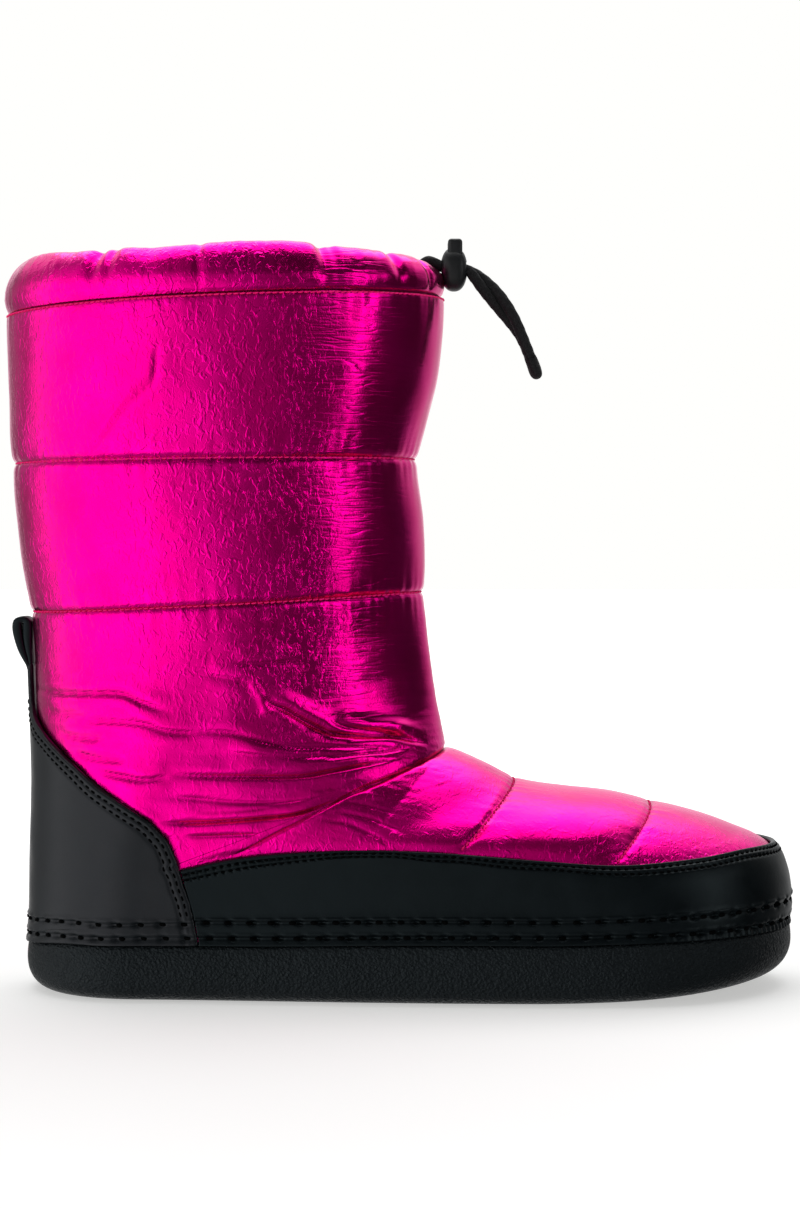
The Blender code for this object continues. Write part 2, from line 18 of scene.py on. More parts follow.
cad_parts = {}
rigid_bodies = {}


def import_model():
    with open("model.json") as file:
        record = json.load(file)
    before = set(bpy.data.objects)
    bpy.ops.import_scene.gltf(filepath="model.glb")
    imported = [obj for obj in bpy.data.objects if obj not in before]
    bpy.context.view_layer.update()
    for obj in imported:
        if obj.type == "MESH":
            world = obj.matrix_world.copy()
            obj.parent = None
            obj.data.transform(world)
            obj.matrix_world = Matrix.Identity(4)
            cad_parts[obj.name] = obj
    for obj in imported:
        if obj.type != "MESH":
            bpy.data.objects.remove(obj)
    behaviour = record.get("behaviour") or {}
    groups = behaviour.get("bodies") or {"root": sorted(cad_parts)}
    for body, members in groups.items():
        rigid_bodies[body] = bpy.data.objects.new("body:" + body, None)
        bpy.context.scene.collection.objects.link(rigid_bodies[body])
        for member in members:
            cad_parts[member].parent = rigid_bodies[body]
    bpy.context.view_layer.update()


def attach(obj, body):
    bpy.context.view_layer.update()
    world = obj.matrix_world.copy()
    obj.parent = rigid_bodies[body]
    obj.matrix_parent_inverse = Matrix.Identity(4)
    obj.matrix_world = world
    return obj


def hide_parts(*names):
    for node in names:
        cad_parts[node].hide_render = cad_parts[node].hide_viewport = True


for item in list(bpy.data.objects):
    bpy.data.objects.remove(item, do_unlink=True)
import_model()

MM = 0.001
CENTRE = np.array([139.3, 0.0, 0.0])

# The last, as in the part's source
SOLE_LENGTH = 285.0
BALL_X = 185.0
TOE_SPRING = 6.5
LAST_CURVE = [(0, 0.6), (60, -0.8), (130, -2.2), (190, -0.8), (240, 3.0), (285, 8.0)]
CURVE_FADE_FROM = 55.0
CURVE_FADE_OVER = 60.0
SEAT_HEIGHT = 18.0
SEAT_FADE_OVER = 32.0
SEAT_RISE = [
    (0, 0.0), (12, 2.2), (35, 3.0), (90, 3.4), (140, 4.3),
    (190, 4.4), (230, 3.9), (255, 2.2), (272, 0.6), (285, -1.0),
]

# Walls and gaps, as in the part's source
WALL = 4.0
GAP = 0.3
OVERLAY_GAP = 0.52
MUDGUARD_THICKNESS = 1.6
FLANGE = 0.9
COUNTER_THICKNESS = 2.2

# Rings of the upper, as in the part's source
Ring = namedtuple(
    "Ring",
    "back_x back_z front_x front_z heel_half ball_half back_round front_round",
)
FOOT_RINGS = [
    (3.0, 18.0, 283.2, 18.0, 34.5, 47.0, 38.0, 66.0),
    (2.9, 18.8, 284.6, 25.0, 34.7, 47.4, 38.0, 66.0),
    (2.9, 19.5, 284.5, 31.0, 34.9, 47.6, 38.0, 66.0),
    (2.9, 20.3, 283.2, 37.5, 35.1, 47.6, 38.0, 66.0),
    (2.9, 21.1, 280.0, 44.8, 35.3, 47.5, 38.5, 66.0),
    (2.9, 21.8, 273.6, 50.6, 35.4, 47.4, 39.0, 67.0),
    (2.9, 22.6, 264.2, 55.0, 35.6, 47.3, 39.0, 69.0),
    (2.9, 23.4, 251.0, 60.2, 35.8, 47.2, 39.5, 73.0),
    (2.9, 24.2, 236.5, 65.8, 35.9, 47.2, 40.0, 77.0),
    (2.9, 24.9, 219.5, 70.4, 36.1, 47.2, 40.5, 82.0),
    (2.9, 25.7, 201.0, 73.3, 36.2, 47.2, 41.0, 86.0),
    (2.9, 26.5, 184.0, 76.6, 36.4, 47.2, 41.5, 88.0),
    (2.9, 27.2, 169.5, 82.6, 36.6, 47.2, 42.0, 85.0),
    (2.9, 28.0, 156.1, 89.2, 36.8, 47.3, 43.0, 80.0),
]
SHAFT_RINGS = [
    (2.9, 28.0, 156.1, 89.2, 36.8, 47.3, 43.0, 80.0),
    (3.3, 52.0, 153.4, 106.0, 40.5, 47.8, 48.0, 78.0),
    (3.8, 80.0, 151.4, 121.0, 44.5, 48.6, 57.0, 76.0),
    (2.9, 110.0, 149.6, 135.0, 47.8, 49.4, 66.0, 74.0),
    (1.5, 140.0, 148.0, 147.4, 50.0, 50.0, 73.0, 73.0),
    (-2.0, 167.0, 147.0, 172.0, 51.8, 51.8, 74.0, 74.0),
    (-5.1, 195.0, 145.4, 196.7, 53.5, 53.5, 75.0, 75.0),
    (-4.6, 222.0, 150.9, 227.0, 55.6, 55.6, 77.4, 77.4),
    (-7.6, 250.0, 155.3, 257.0, 58.0, 58.0, 81.0, 81.0),
]
# The empty shaft's front hangs more pointed low down: power of each row's front curve, 2 for an oval
FRONT_POWER = [
    (0, 2.0), (13, 2.0), (13.5, 1.74), (14, 1.56), (15, 1.5),
    (16, 1.54), (17, 1.66), (18, 1.76), (19, 1.88), (21, 1.92),
]
ANKLE_ROW = len(FOOT_RINGS) - 1
TOP_ROW = ANKLE_ROW + len(SHAFT_RINGS) - 1

# Quilting and overlays, as in the part's source
SHAFT_SEAM_ROWS = [13.0, 17.0, 19.0, 21.0]
SHAFT_PUFFS = [0.0, 1.3, 2.2]
VAMP_SEAMS = [66.5, 104.5, 166.0, 229.0]
VAMP_PUFF = 1.2
DOME_POWER = 0.7
PUFF_FADE_FROM = 50.0
PUFF_FADE_OVER = 10.0
MUDGUARD_TOP = [
    (55, 47.6), (80, 53.2), (118, 56.2), (153, 55.5), (189, 52.4),
    (217, 49.5), (246, 48.7), (265, 48.4), (284, 46.0),
]
COUNTER_EDGE = [
    (18.0, 67.0), (32.0, 64.5), (41.0, 62.4), (51.4, 59.7), (59.4, 56.2),
    (66.5, 49.7), (72.3, 40.4), (78.3, 30.9), (85.0, 23.0), (91.6, 14.7),
    (98.0, 7.4), (102.5, 4.6), (106.0, 3.4),
]
TAIL_HALF_WIDTH = 6.5
TAIL_TOP = 120.4
SOLE_OVERHANG = 2.9
SOLE_SIDE = [
    (17.7, 0.9), (16.7, 0.1), (11.5, -0.3), (7.0, 0.4),
    (3.4, 2.4), (1.0, 5.6), (0.0, 9.5),
]
LUG_DEPTH = 2.6
LUG_GROOVE = 5.0
LUG_GROOVE_XS = [22, 38, 54, 70, 130, 147, 164, 181, 198, 215, 232]
LUG_BORDER = 15.0
INSOLE_CLEARANCE = 0.6
CASING_TOP_BACK = 270.4
CASING_TOP_FRONT = 269.6
CASING_FRONT_DENT = 0.7
CASING_SECTION = [
    (-0.8, 0.0), (0.5, 0.2), (0.4, 0.4), (-0.9, 0.63), (-2.8, 0.81), (-5.2, 0.94),
    (-7.6, 1.0), (-9.5, 0.92), (-10.2, 0.7), (-9.2, 0.35), (-6.8, 0.0),
]
LOOP_FOLD = [
    (0.9, 118.6, 0.7), (0.4, 120.4, 0.8), (-0.7, 122.6, 1.0), (-2.1, 126.0, 1.35), (-3.2, 130.0, 1.6),
    (-3.8, 133.6, 1.7), (-3.6, 136.0, 1.6), (-2.4, 136.9, 1.2), (-0.8, 136.9, 1.2), (0.1, 135.6, 1.5),
    (0.1, 133.0, 1.6), (0.2, 129.6, 1.5), (0.6, 126.0, 1.2), (1.2, 122.4, 0.8), (1.5, 119.4, 0.6),
]
LOCK_X = 159.7
LOCK_DEPTH = 8.4
LOCK_WIDTH = 13.8
LOCK_BOTTOM = 259.8
LOCK_SOCKET_FLOOR = 262.9
BUTTON_DEPTH = 5.4
BUTTON_WIDTH = 10.2
BUTTON_CLEARANCE = 0.15
BUTTON_BOTTOM = 266.05
BUTTON_TOP = 279.2
BUTTON_SLOT_TOP = 273.6
CORD_HOLE_WIDTH = 7.8
CORD_HOLE_BOTTOM = 265.8
CORD_HOLE_TOP = 270.9
CORD_RADIUS = 2.05
CORD_SPREAD = 1.75
LOCK_SQUEEZE = 0.2
SQUEEZE_REACH = 0.09
CORD_ROUTE = [
    (145.6, 268.2, 0), (149.8, 270.9, 0), (154.7, 269.1, 0), (159.7, 268.3, 0),
    (164.2, 267.9, 4), (167.6, 265.4, 30), (171.1, 261.8, 62), (174.5, 258.0, 92),
    (178.1, 253.4, 122), (181.4, 248.6, 150), (184.1, 244.0, 172), (186.2, 239.4, 180),
    (188.0, 234.8, 180),
]
TIP_LENGTH = 8.0
TIP_WIDTH = 7.8
TIP_DEPTH = 5.2
TIP_OVERLAP = 2.4

# Folds: path seen from the side, width, depth (negative for a ridge), swell above and below
OUTER_FOLDS = [
    # ankle
    (
        [(88, 110.4), (97.5, 106.5), (103.5, 102.9), (110, 99.2),
         (116, 96.9), (126, 95.8), (138, 95), (150, 91.4)],
        0.7, 2.2, 1.3, 0.5,
    ),
    ([(113, 102.4), (119, 99.6), (126, 97.9), (134, 96.6), (142, 94.6)], 0.7, 1.7, 0.9, 0.3),
    ([(78, 93.5), (90, 90.5), (104, 88), (118, 87.6), (132, 88.6)], 6.0, -1.5, 0.0, 0.0),
    (
        [(56, 83.2), (64, 82.6), (82, 82.4), (103, 82.3), (114, 83.7), (126, 85.5), (139, 87.2)],
        0.5, 1.6, 0.6, 0.7,
    ),
    ([(52, 65.6), (64, 65.6), (82, 66.8), (100, 68.6), (111, 71.7), (118, 75)], 0.5, 1.8, 0.7, 0.6),
    (
        [(60, 98.6), (78, 98), (89, 95.6), (100, 92.9), (114, 92.3), (132, 91.3), (143, 90.2)],
        0.5, 0.9, 0.4, 0.5,
    ),
    ([(77, 91.2), (93, 89.8), (107, 89.2), (120, 89.6)], 0.6, 0.7, 0.3, 0.3),
    ([(110, 88), (126, 89.2), (143, 90.8)], 0.6, 0.9, 0.3, 0.4),
    ([(55, 75), (68, 74.2), (82, 73.2), (97, 73.4), (111, 75.4)], 0.6, 0.7, 0.3, 0.3),
    ([(62, 61.2), (68, 60.9), (79, 61.4), (90, 62)], 0.6, 0.8, 0.3, 0.3),
    ([(66, 69.6), (80, 70.2), (94, 71.6)], 0.6, 0.5, 0.2, 0.2),
    ([(86, 118), (90, 110), (92.5, 104)], 1.6, -0.9, 0.0, 0.0),
    # heel
    ([(2, 112.2), (12, 111.2), (23, 111.4), (39, 111.7), (47, 108.8), (58, 105.2)], 0.75, 1.3, 0.4, 0.5),
    ([(24, 101.6), (36, 101.8), (47, 101.1), (57, 98.4), (70, 97.5)], 0.7, 0.9, 0.3, 0.4),
    ([(15, 96.4), (24, 95.4), (33, 95.8)], 0.7, 0.9, 0.3, 0.3),
    ([(21, 90.2), (30, 88.2), (42, 87.6)], 0.7, 1.0, 0.3, 0.3),
    ([(30, 83.6), (40, 82), (48, 81.1), (58, 82.4)], 0.75, 1.2, 0.4, 0.4),
    ([(9, 104.6), (16, 103.6), (26, 104.2)], 0.7, 0.7, 0.2, 0.3),
    # shaft
    ([(79, 123), (89, 122.7), (104, 123.6)], 0.8, 0.6, 0.5, 0.2),
    ([(70, 119), (79, 117.2), (86, 116.6)], 0.8, 0.5, 0.3, 0.2),
    (
        [(54.5, 238), (53.6, 230), (52.4, 223), (47, 218), (42, 213), (37, 207), (32, 201), (29, 197)],
        0.6, 0.8, 0.1, 0.2,
    ),
    # vamp
    ([(113, 69.4), (121, 69), (132, 65.9), (142, 61)], 0.6, 0.45, 0.08, 0.05),
    ([(109, 67), (119, 66), (128, 62.2), (137, 57)], 0.6, 0.4, 0.08, 0.05),
    ([(118, 73.4), (128, 71.5), (140, 68)], 0.6, 0.3, 0.08, 0.05),
]
INNER_FOLDS = [
    ([(90, 110), (104, 102), (118, 96), (134, 93.4), (150, 92.6)], 1.2, 2.3, 1.2, 0.6),
    ([(110, 105), (124, 100), (138, 97), (150, 95)], 1.2, 2.0, 0.9, 0.4),
    ([(56, 86), (74, 83), (95, 82), (118, 84.6), (137, 87), (150, 89)], 0.8, 1.9, 0.8, 0.8),
    ([(56, 64), (72, 65.4), (92, 68), (112, 73)], 0.9, 1.8, 0.8, 0.7),
    ([(82, 96), (100, 92.5), (120, 90), (138, 90)], 0.9, 1.1, 0.6, 0.5),
    ([(6, 114), (20, 113), (36, 110), (52, 108)], 0.75, 1.2, 0.4, 0.5),
    ([(22, 99), (38, 100.5), (54, 98), (70, 95.5)], 0.7, 1.0, 0.3, 0.4),
    ([(30, 86), (44, 83), (58, 81)], 0.75, 1.1, 0.4, 0.4),
    ([(70, 236), (64, 226), (58, 218), (56, 208)], 0.75, 0.7, 0.2, 0.2),
    ([(112, 67), (126, 65), (140, 60)], 0.6, 0.45, 0.08, 0.05),
    ([(122, 76), (134, 74), (147, 71)], 0.6, 0.45, 0.08, 0.05),
]
ANKLE_SEAM = [
    (58, 43), (70, 49), (78, 53), (87, 57.5), (96, 62.4), (103.5, 66.2), (110, 69.8),
    (118, 74.2), (125, 77.6), (133, 80.4), (142, 83.6),
]
SEAM_FOLD = (ANKLE_SEAM, 0.5, 0.9, 0.35, 0.3)
FOLDS = [(-1, *fold) for fold in [*OUTER_FOLDS, SEAM_FOLD]]
FOLDS += [(1, *fold) for fold in [*INNER_FOLDS, SEAM_FOLD]]

# Mesh counts
FOOT_AROUND = 420
ANKLE_AROUND = 500
SHAFT_AROUND = 520
LINING_ROWS = 14
COLLAR_AROUND = 540
BAND_COLUMNS = 920
SOLE_AROUND = 300
INSOLE_AROUND = 160

# Sampling of the upper's surface
RING_SAMPLES = 361
ROW_SAMPLES = 16
TIP_SOFTNESS = 6
NORMAL_STEP_U = 0.004
NORMAL_STEP_V = 0.25


# Shared shapes

def smoothstep(t):
    t = np.clip(t, 0.0, 1.0)
    return t * t * (3.0 - 2.0 * t)


def unit(vectors):
    return vectors / np.maximum(np.linalg.norm(vectors, axis=-1, keepdims=True), 1e-12)


def bell(distance, width):
    """1 at no distance, falling away smoothly over the width."""
    return np.exp(-((distance / width) ** 2))


def stacked(*parts):
    """Coordinates joined along a new last axis."""
    return np.stack(np.broadcast_arrays(*parts), axis=-1)


def walked(path):
    """Length walked along a path, or up each column of a grid, at each of its points."""
    steps = np.linalg.norm(np.diff(path, axis=0), axis=-1)
    return np.concatenate([np.zeros_like(steps[:1]), np.cumsum(steps, axis=0)])


def read_columns(at, places, columns):
    """The columns of a table read at the same places."""
    return stacked(*(np.interp(at, places, column) for column in columns.T))


def read_table(rows, at):
    """A two-column table read at any place, with a smooth curve through its rows."""
    xs, ys = np.array(rows, float).T
    at = np.clip(np.asarray(at, float), xs[0], xs[-1])
    slopes = np.gradient(ys, xs)
    i = np.clip(np.searchsorted(xs, at, side="right") - 1, 0, len(xs) - 2)
    width = xs[i + 1] - xs[i]
    t = (at - xs[i]) / width
    rise = (2 * t**3 - 3 * t**2 + 1) * ys[i] + (3 * t**2 - 2 * t**3) * ys[i + 1]
    bend = (t**3 - 2 * t**2 + t) * slopes[i] + (t**3 - t**2) * slopes[i + 1]
    return rise + bend * width


def read_rows(rows, at):
    """Rows of a table at fractional row numbers, with a smooth curve through them."""
    rows = np.array(rows, float)
    rows = np.vstack([2 * rows[0] - rows[1], rows, 2 * rows[-1] - rows[-2]])
    i = np.clip(np.floor(at).astype(int), 0, len(rows) - 4)
    t = (at - i)[:, None]
    a, b, c, d = rows[i], rows[i + 1], rows[i + 2], rows[i + 3]
    return b + 0.5 * t * (c - a + t * (2 * a - 5 * b + 4 * c - d + t * (3 * (b - c) + d - a)))


def rounded_tip(share, half, amount):
    """Rounds the front tip of a ring, mirrored across the boot's middle."""
    reach = 3 * TIP_SOFTNESS
    spread = np.exp(-((np.arange(-reach, reach + 1) / TIP_SOFTNESS) ** 2) / 2.0)
    spread = spread / spread.sum()
    kept = len(share) - reach
    fade = 1.0 - smoothstep((np.arange(kept) - reach) / (2.0 * reach))
    weight = np.clip(amount, 0.0, 1.0) * fade
    for line, turn in ((share, 1.0), (half, -1.0)):
        mirrored = np.concatenate([turn * line[reach:0:-1], line])
        line[:kept] += (np.convolve(mirrored, spread, mode="valid") - line[:kept]) * weight
    return share, half


def half_ring(row, power):
    """Points from the front to the back of one ring, evenly spaced round it, y outwards."""
    ring = Ring(*row)
    length = math.hypot(ring.front_x - ring.back_x, ring.front_z - ring.back_z)
    along = length * (1.0 + np.cos(np.linspace(0.0, math.pi, RING_SAMPLES))) / 2.0
    share = along / length
    front = np.clip((length - along) / ring.front_round, 0.0, 1.0)
    back = np.clip(along / ring.back_round, 0.0, 1.0)
    half = ring.heel_half + (ring.ball_half - ring.heel_half) * smoothstep(share)
    half = half * (1.0 - (1.0 - front) ** power) ** (1.0 / power) * np.sqrt(1.0 - (1.0 - back) ** 2)
    gone = walked(stacked(along, half))
    even = np.linspace(0.0, gone[-1], RING_SAMPLES)
    share = np.interp(even, gone, share)
    half = np.interp(even, gone, half)
    share, half = rounded_tip(share, half, 2.0 * (2.0 - power))
    x = ring.back_x + (ring.front_x - ring.back_x) * share
    z = ring.back_z + (ring.front_z - ring.back_z) * share
    return stacked(x, half, z)


def skin_samples():
    foot_at = np.arange(ANKLE_ROW * ROW_SAMPLES + 1) / ROW_SAMPLES
    shaft_at = np.arange(1, (TOP_ROW - ANKLE_ROW) * ROW_SAMPLES + 1) / ROW_SAMPLES
    rows = np.vstack([read_rows(FOOT_RINGS, foot_at), read_rows(SHAFT_RINGS, shaft_at)])
    powers = np.interp(np.concatenate([foot_at, shaft_at + ANKLE_ROW]), *np.array(FRONT_POWER).T)
    return np.stack([half_ring(row, power) for row, power in zip(rows, powers)])


SKIN = skin_samples()


def wrapped(u):
    return (np.asarray(u, float) + 0.5) % 1.0 - 0.5


def skin(u, v):
    """Point of the straight upper: u is 0 at the toe and half a turn at the heel, v the row."""
    u, v = np.broadcast_arrays(wrapped(u), np.asarray(v, float))
    down = np.clip(v * ROW_SAMPLES, 0.0, SKIN.shape[0] - 1.000001)
    across = np.clip(np.abs(u) * 2.0 * (RING_SAMPLES - 1), 0.0, RING_SAMPLES - 1.000001)
    i, j = down.astype(int), across.astype(int)
    a, b = (down - i)[..., None], (across - j)[..., None]
    low = SKIN[i, j] * (1 - b) + SKIN[i, j + 1] * b
    high = SKIN[i + 1, j] * (1 - b) + SKIN[i + 1, j + 1] * b
    point = low * (1 - a) + high * a
    point[..., 1] *= np.where(u < 0.0, -1.0, 1.0)
    return point


def skin_normal(u, v):
    v = np.asarray(v, float)
    around = skin(u + NORMAL_STEP_U, v) - skin(u - NORMAL_STEP_U, v)
    up = skin(u, np.minimum(v + NORMAL_STEP_V, TOP_ROW))
    up = up - skin(u, np.maximum(v - NORMAL_STEP_V, 0.0))
    return unit(np.cross(around, up))


def plan_normal(u, v):
    return unit(skin_normal(u, v) * np.array([1.0, 1.0, 0.0]))


def dome(t):
    return np.sin(math.pi * np.clip(t, 0.0, 1.0)) ** DOME_POWER


def quilt_puff(u, v):
    """How far the padding stands out between the quilt seams."""
    point = skin(u, v)
    v = np.broadcast_to(np.asarray(v, float), point.shape[:-1])
    place = point[..., 0] - point[..., 2]
    puff = np.zeros_like(place)
    for near, far in zip(VAMP_SEAMS[:-1], VAMP_SEAMS[1:]):
        puff += VAMP_PUFF * dome((place - near) / (far - near))
    puff *= smoothstep((point[..., 2] - PUFF_FADE_FROM) / PUFF_FADE_OVER)
    puff *= v < ANKLE_ROW
    for low, high, size in zip(SHAFT_SEAM_ROWS[:-1], SHAFT_SEAM_ROWS[1:], SHAFT_PUFFS):
        puff += size * dome((v - low) / (high - low))
    return puff


def padded(u, v, outwards):
    """Point a given distance outside the padded upper; the lowest row moves level."""
    u, v = np.broadcast_arrays(np.asarray(u, float), np.asarray(v, float))
    normal = np.where(v[..., None] > 0.0, skin_normal(u, v), plan_normal(u, v))
    return skin(u, v) + normal * (quilt_puff(u, v) + outwards)[..., None]


def toe_rise(x):
    return TOE_SPRING * np.clip((x - BALL_X) / (SOLE_LENGTH - BALL_X), 0.0, 1.2) ** 2


def bent(points):
    """Toe spring, seat rise and the right foot's curve, given to points of the straight boot."""
    points = np.array(points, float)
    x, z = points[..., 0].copy(), points[..., 2].copy()
    fade = 1.0 - smoothstep((z - CURVE_FADE_FROM) / CURVE_FADE_OVER)
    seat = smoothstep(z / SEAT_HEIGHT) * (1.0 - smoothstep((z - SEAT_HEIGHT) / SEAT_FADE_OVER))
    points[..., 1] += read_table(LAST_CURVE, x) * fade
    points[..., 2] += toe_rise(x) + read_table(SEAT_RISE, x) * seat
    return points


def mudguard_row(u):
    """Row at which each column of the skin reaches the mudguard's top edge."""
    rows = np.linspace(0.0, ANKLE_ROW + 2.0, 601)
    found = []
    for one in np.atleast_1d(u):
        points = skin(one, rows)
        over = points[:, 2] - read_table(MUDGUARD_TOP, points[:, 0])
        first = int(np.argmax(over > 0.0))
        found.append(np.interp(0.0, over[first - 1 : first + 1], rows[first - 1 : first + 1]))
    return np.array(found)


def ahead_of_counter(point):
    heights, edges = np.array(COUNTER_EDGE, float).T
    return point[..., 0] - np.interp(point[..., 2], heights, edges)


def lattice_noise(points, seed):
    """Smooth noise of about -0.7 to 0.7 at points in space, the same for the same seed."""
    draw = np.random.RandomState(seed)
    table = draw.permutation(256)
    slopes = unit(draw.normal(size=(256, 3)))
    points = np.asarray(points, float)
    cell = np.floor(points).astype(int)
    part = points - cell
    ease = part**3 * (part * (part * 6 - 15) + 10)
    total = np.zeros(points.shape[:-1])
    for corner in np.ndindex(2, 2, 2):
        at = cell + np.array(corner)
        key = table[(table[(table[at[..., 0] & 255] + at[..., 1]) & 255] + at[..., 2]) & 255]
        lean = (slopes[key] * (part - np.array(corner))).sum(-1)
        weight = np.ones(points.shape[:-1])
        for axis in range(3):
            weight = weight * (ease[..., axis] if corner[axis] else 1.0 - ease[..., axis])
        total += weight * lean
    return total


def smooth_path(points, steps):
    """A curve through points, evenly stepped."""
    points = np.array(points, float)
    fine = read_rows(points, np.linspace(0.0, len(points) - 1.0, 16 * len(points)))
    gone = walked(fine)
    return read_columns(np.linspace(0.0, gone[-1], steps), gone, fine)


# Mesh helpers

STITCH_SIDES = 6
STITCH_ALONG = np.array([-1.0, -0.86, -0.5, 0.0, 0.5, 0.86, 1.0])
STITCH_SINK = 0.55
STITCH_TAPER = 0.86
SHARP_EDGE_DEG = 40.0


def to_frame(points):
    return (np.asarray(points, float) - CENTRE) * MM


def round_angles(sides):
    return np.linspace(0.0, 2.0 * math.pi, sides, endpoint=False)


def link(name, data):
    made = bpy.data.objects.new(name, data)
    bpy.context.scene.collection.objects.link(made)
    return made


def dress(piece, solid, body="boot"):
    """Ties a piece to its body and hides the solid it stands for."""
    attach(piece, body)
    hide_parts(solid)


def make_piece(name, points, faces, materials, slots=None):
    """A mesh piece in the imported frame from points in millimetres."""
    mesh = bpy.data.meshes.new(name)
    mesh.from_pydata(to_frame(points).reshape(-1, 3).tolist(), [], faces)
    for surface in materials:
        mesh.materials.append(surface)
    if slots is not None:
        mesh.polygons.foreach_set("material_index", np.asarray(slots, np.int32))
    mesh.polygons.foreach_set("use_smooth", np.ones(len(mesh.polygons), bool))
    mesh.update()
    return link(name, mesh)


def grid_faces(rows, columns, around, start=0, flip=False):
    """Quads between rows of a grid whose first point has the number start."""
    i, j = np.meshgrid(np.arange(rows - 1), np.arange(columns if around else columns - 1), indexing="ij")
    k = (j + 1) % columns
    a, b, c, d = i * columns + j, i * columns + k, (i + 1) * columns + k, (i + 1) * columns + j
    return (stacked(*([a, d, c, b] if flip else [a, b, c, d])).reshape(-1, 4) + start).tolist()


def tube_faces(rows, columns):
    """Faces of a tube with a face across both ends."""
    faces = grid_faces(rows, columns, True)
    faces.append(list(range(columns))[::-1])
    faces.append([(rows - 1) * columns + j for j in range(columns)])
    return faces


def capped_faces(rows, columns):
    """Faces of a stack of rings, with strips across the lowest and the highest one."""
    faces = grid_faces(rows, columns, True)
    middle = columns // 2
    for row in (0, rows - 1):
        order = [row * columns + j for j in range(columns)]
        strips = [[order[0], order[1], order[-1]]]
        strips += [[order[k], order[k + 1], order[-k - 1], order[-k]] for k in range(1, middle - 1)]
        strips.append([order[middle - 1], order[middle], order[middle + 1]])
        faces += [strip[::-1] for strip in strips] if row == 0 else strips
    return faces


def make_shell(name, outer, inner, around, materials):
    """A closed wall: outer grid, inner grid and the rims between them."""
    outer_rows, columns = outer.shape[:2]
    inner_rows = len(inner)
    start = outer_rows * columns
    faces = grid_faces(outer_rows, columns, around)
    outer_count = len(faces)
    faces += grid_faces(inner_rows, columns, around, start, True)
    last_outer = (outer_rows - 1) * columns
    last_inner = start + (inner_rows - 1) * columns
    for j in range(columns if around else columns - 1):
        k = (j + 1) % columns
        faces.append((start + j, start + k, k, j))
        faces.append((last_outer + j, last_outer + k, last_inner + k, last_inner + j))
    if not around:
        for j, turn in ((0, 1), (columns - 1, -1)):
            edge = [i * columns + j for i in range(outer_rows)]
            edge += [start + i * columns + j for i in range(inner_rows - 1, -1, -1)]
            faces.append(edge[::turn])
    slots = np.zeros(len(faces), int)
    if len(materials) > 1:
        slots[outer_count:] = 1
    points = np.concatenate([outer.reshape(-1, 3), inner.reshape(-1, 3)])
    return make_piece(name, points, faces, materials, slots)


def tube_grid(path, radius, sides):
    """Rings round a path; radius is a function of (share along, angle) arrays."""
    ahead = unit(np.gradient(path, axis=0))
    across = np.array([0.0, 1.0, 0.0])
    side = unit(across - ahead * (ahead @ across)[:, None])[:, None, :]
    over = np.cross(ahead[:, None, :], side)
    angle = round_angles(sides)
    share = np.linspace(0.0, 1.0, len(path))
    ring = np.cos(angle)[:, None] * side + np.sin(angle)[:, None] * over
    return path[:, None, :] + ring * radius(share[:, None], angle[None, :])[..., None]


def make_tube(name, grid, material):
    return make_piece(name, grid, tube_faces(*grid.shape[:2]), [material])


def moved_on(faces, start):
    return [[n + start for n in face] for face in faces]


def stitch_row(path, normals, pitch, length, width, lift, slant_deg=0.0):
    """Spindles of thread lying along a path, sunk at both ends: points and faces."""
    gone = walked(path)
    count = max(1, int(round(gone[-1] / pitch)))
    pitch = gone[-1] / count
    half = length / 2.0 * pitch
    middles = (np.arange(count) + 0.5) * pitch
    places = np.clip(middles[:, None] + STITCH_ALONG * half, 0.0, gone[-1])
    line = read_columns(places, gone, path)
    normal = unit(read_columns(places, gone, normals))
    ahead = unit(line[:, -1:] - line[:, :1])
    side = unit(np.cross(normal, np.broadcast_to(ahead, normal.shape)))
    swing = math.tan(math.radians(slant_deg)) * STITCH_ALONG * half
    arch = lift - STITCH_SINK * width * STITCH_ALONG**4
    centre = line + normal * arch[:, None] + side * swing[:, None]
    girth = 0.5 * width * np.sqrt(1.0 - np.abs(STITCH_ALONG) ** 3 * STITCH_TAPER)
    angle = round_angles(STITCH_SIDES)[:, None]
    ring = np.cos(angle) * side[:, :, None, :] + np.sin(angle) * normal[:, :, None, :]
    points = centre[:, :, None, :] + ring * girth[:, None, None]
    one = tube_faces(len(STITCH_ALONG), STITCH_SIDES)
    each = len(STITCH_ALONG) * STITCH_SIDES
    return points.reshape(-1, 3), [face for k in range(count) for face in moved_on(one, k * each)]


def make_stitches(name, rows, material):
    """One piece from several rows of stitches."""
    faces, start = [], 0
    for points, row_faces in rows:
        faces += moved_on(row_faces, start)
        start += len(points)
    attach(make_piece(name, np.concatenate([points for points, _ in rows]), faces, [material]), "boot")


def add_box(bm, centre, size):
    place = Matrix.Translation(Vector(to_frame(centre))) @ Matrix.Diagonal((*(np.array(size) * MM), 1.0))
    bmesh.ops.create_cube(bm, size=1.0, matrix=place)


def link_bmesh(name, bm):
    mesh = bpy.data.meshes.new(name)
    bm.to_mesh(mesh)
    bm.free()
    return link(name, mesh)


def rounded_box(name, centre, size, rounding=0.0, upright=False):
    """A box with rounded edges, or only its upright edges rounded."""
    bm = bmesh.new()
    add_box(bm, centre, size)
    edges = [e for e in bm.edges if not upright or abs(e.verts[0].co.z - e.verts[1].co.z) > MM]
    if rounding:
        bmesh.ops.bevel(bm, geom=edges, offset=rounding * MM, segments=5, profile=0.5, affect="EDGES")
    return link_bmesh(name, bm)


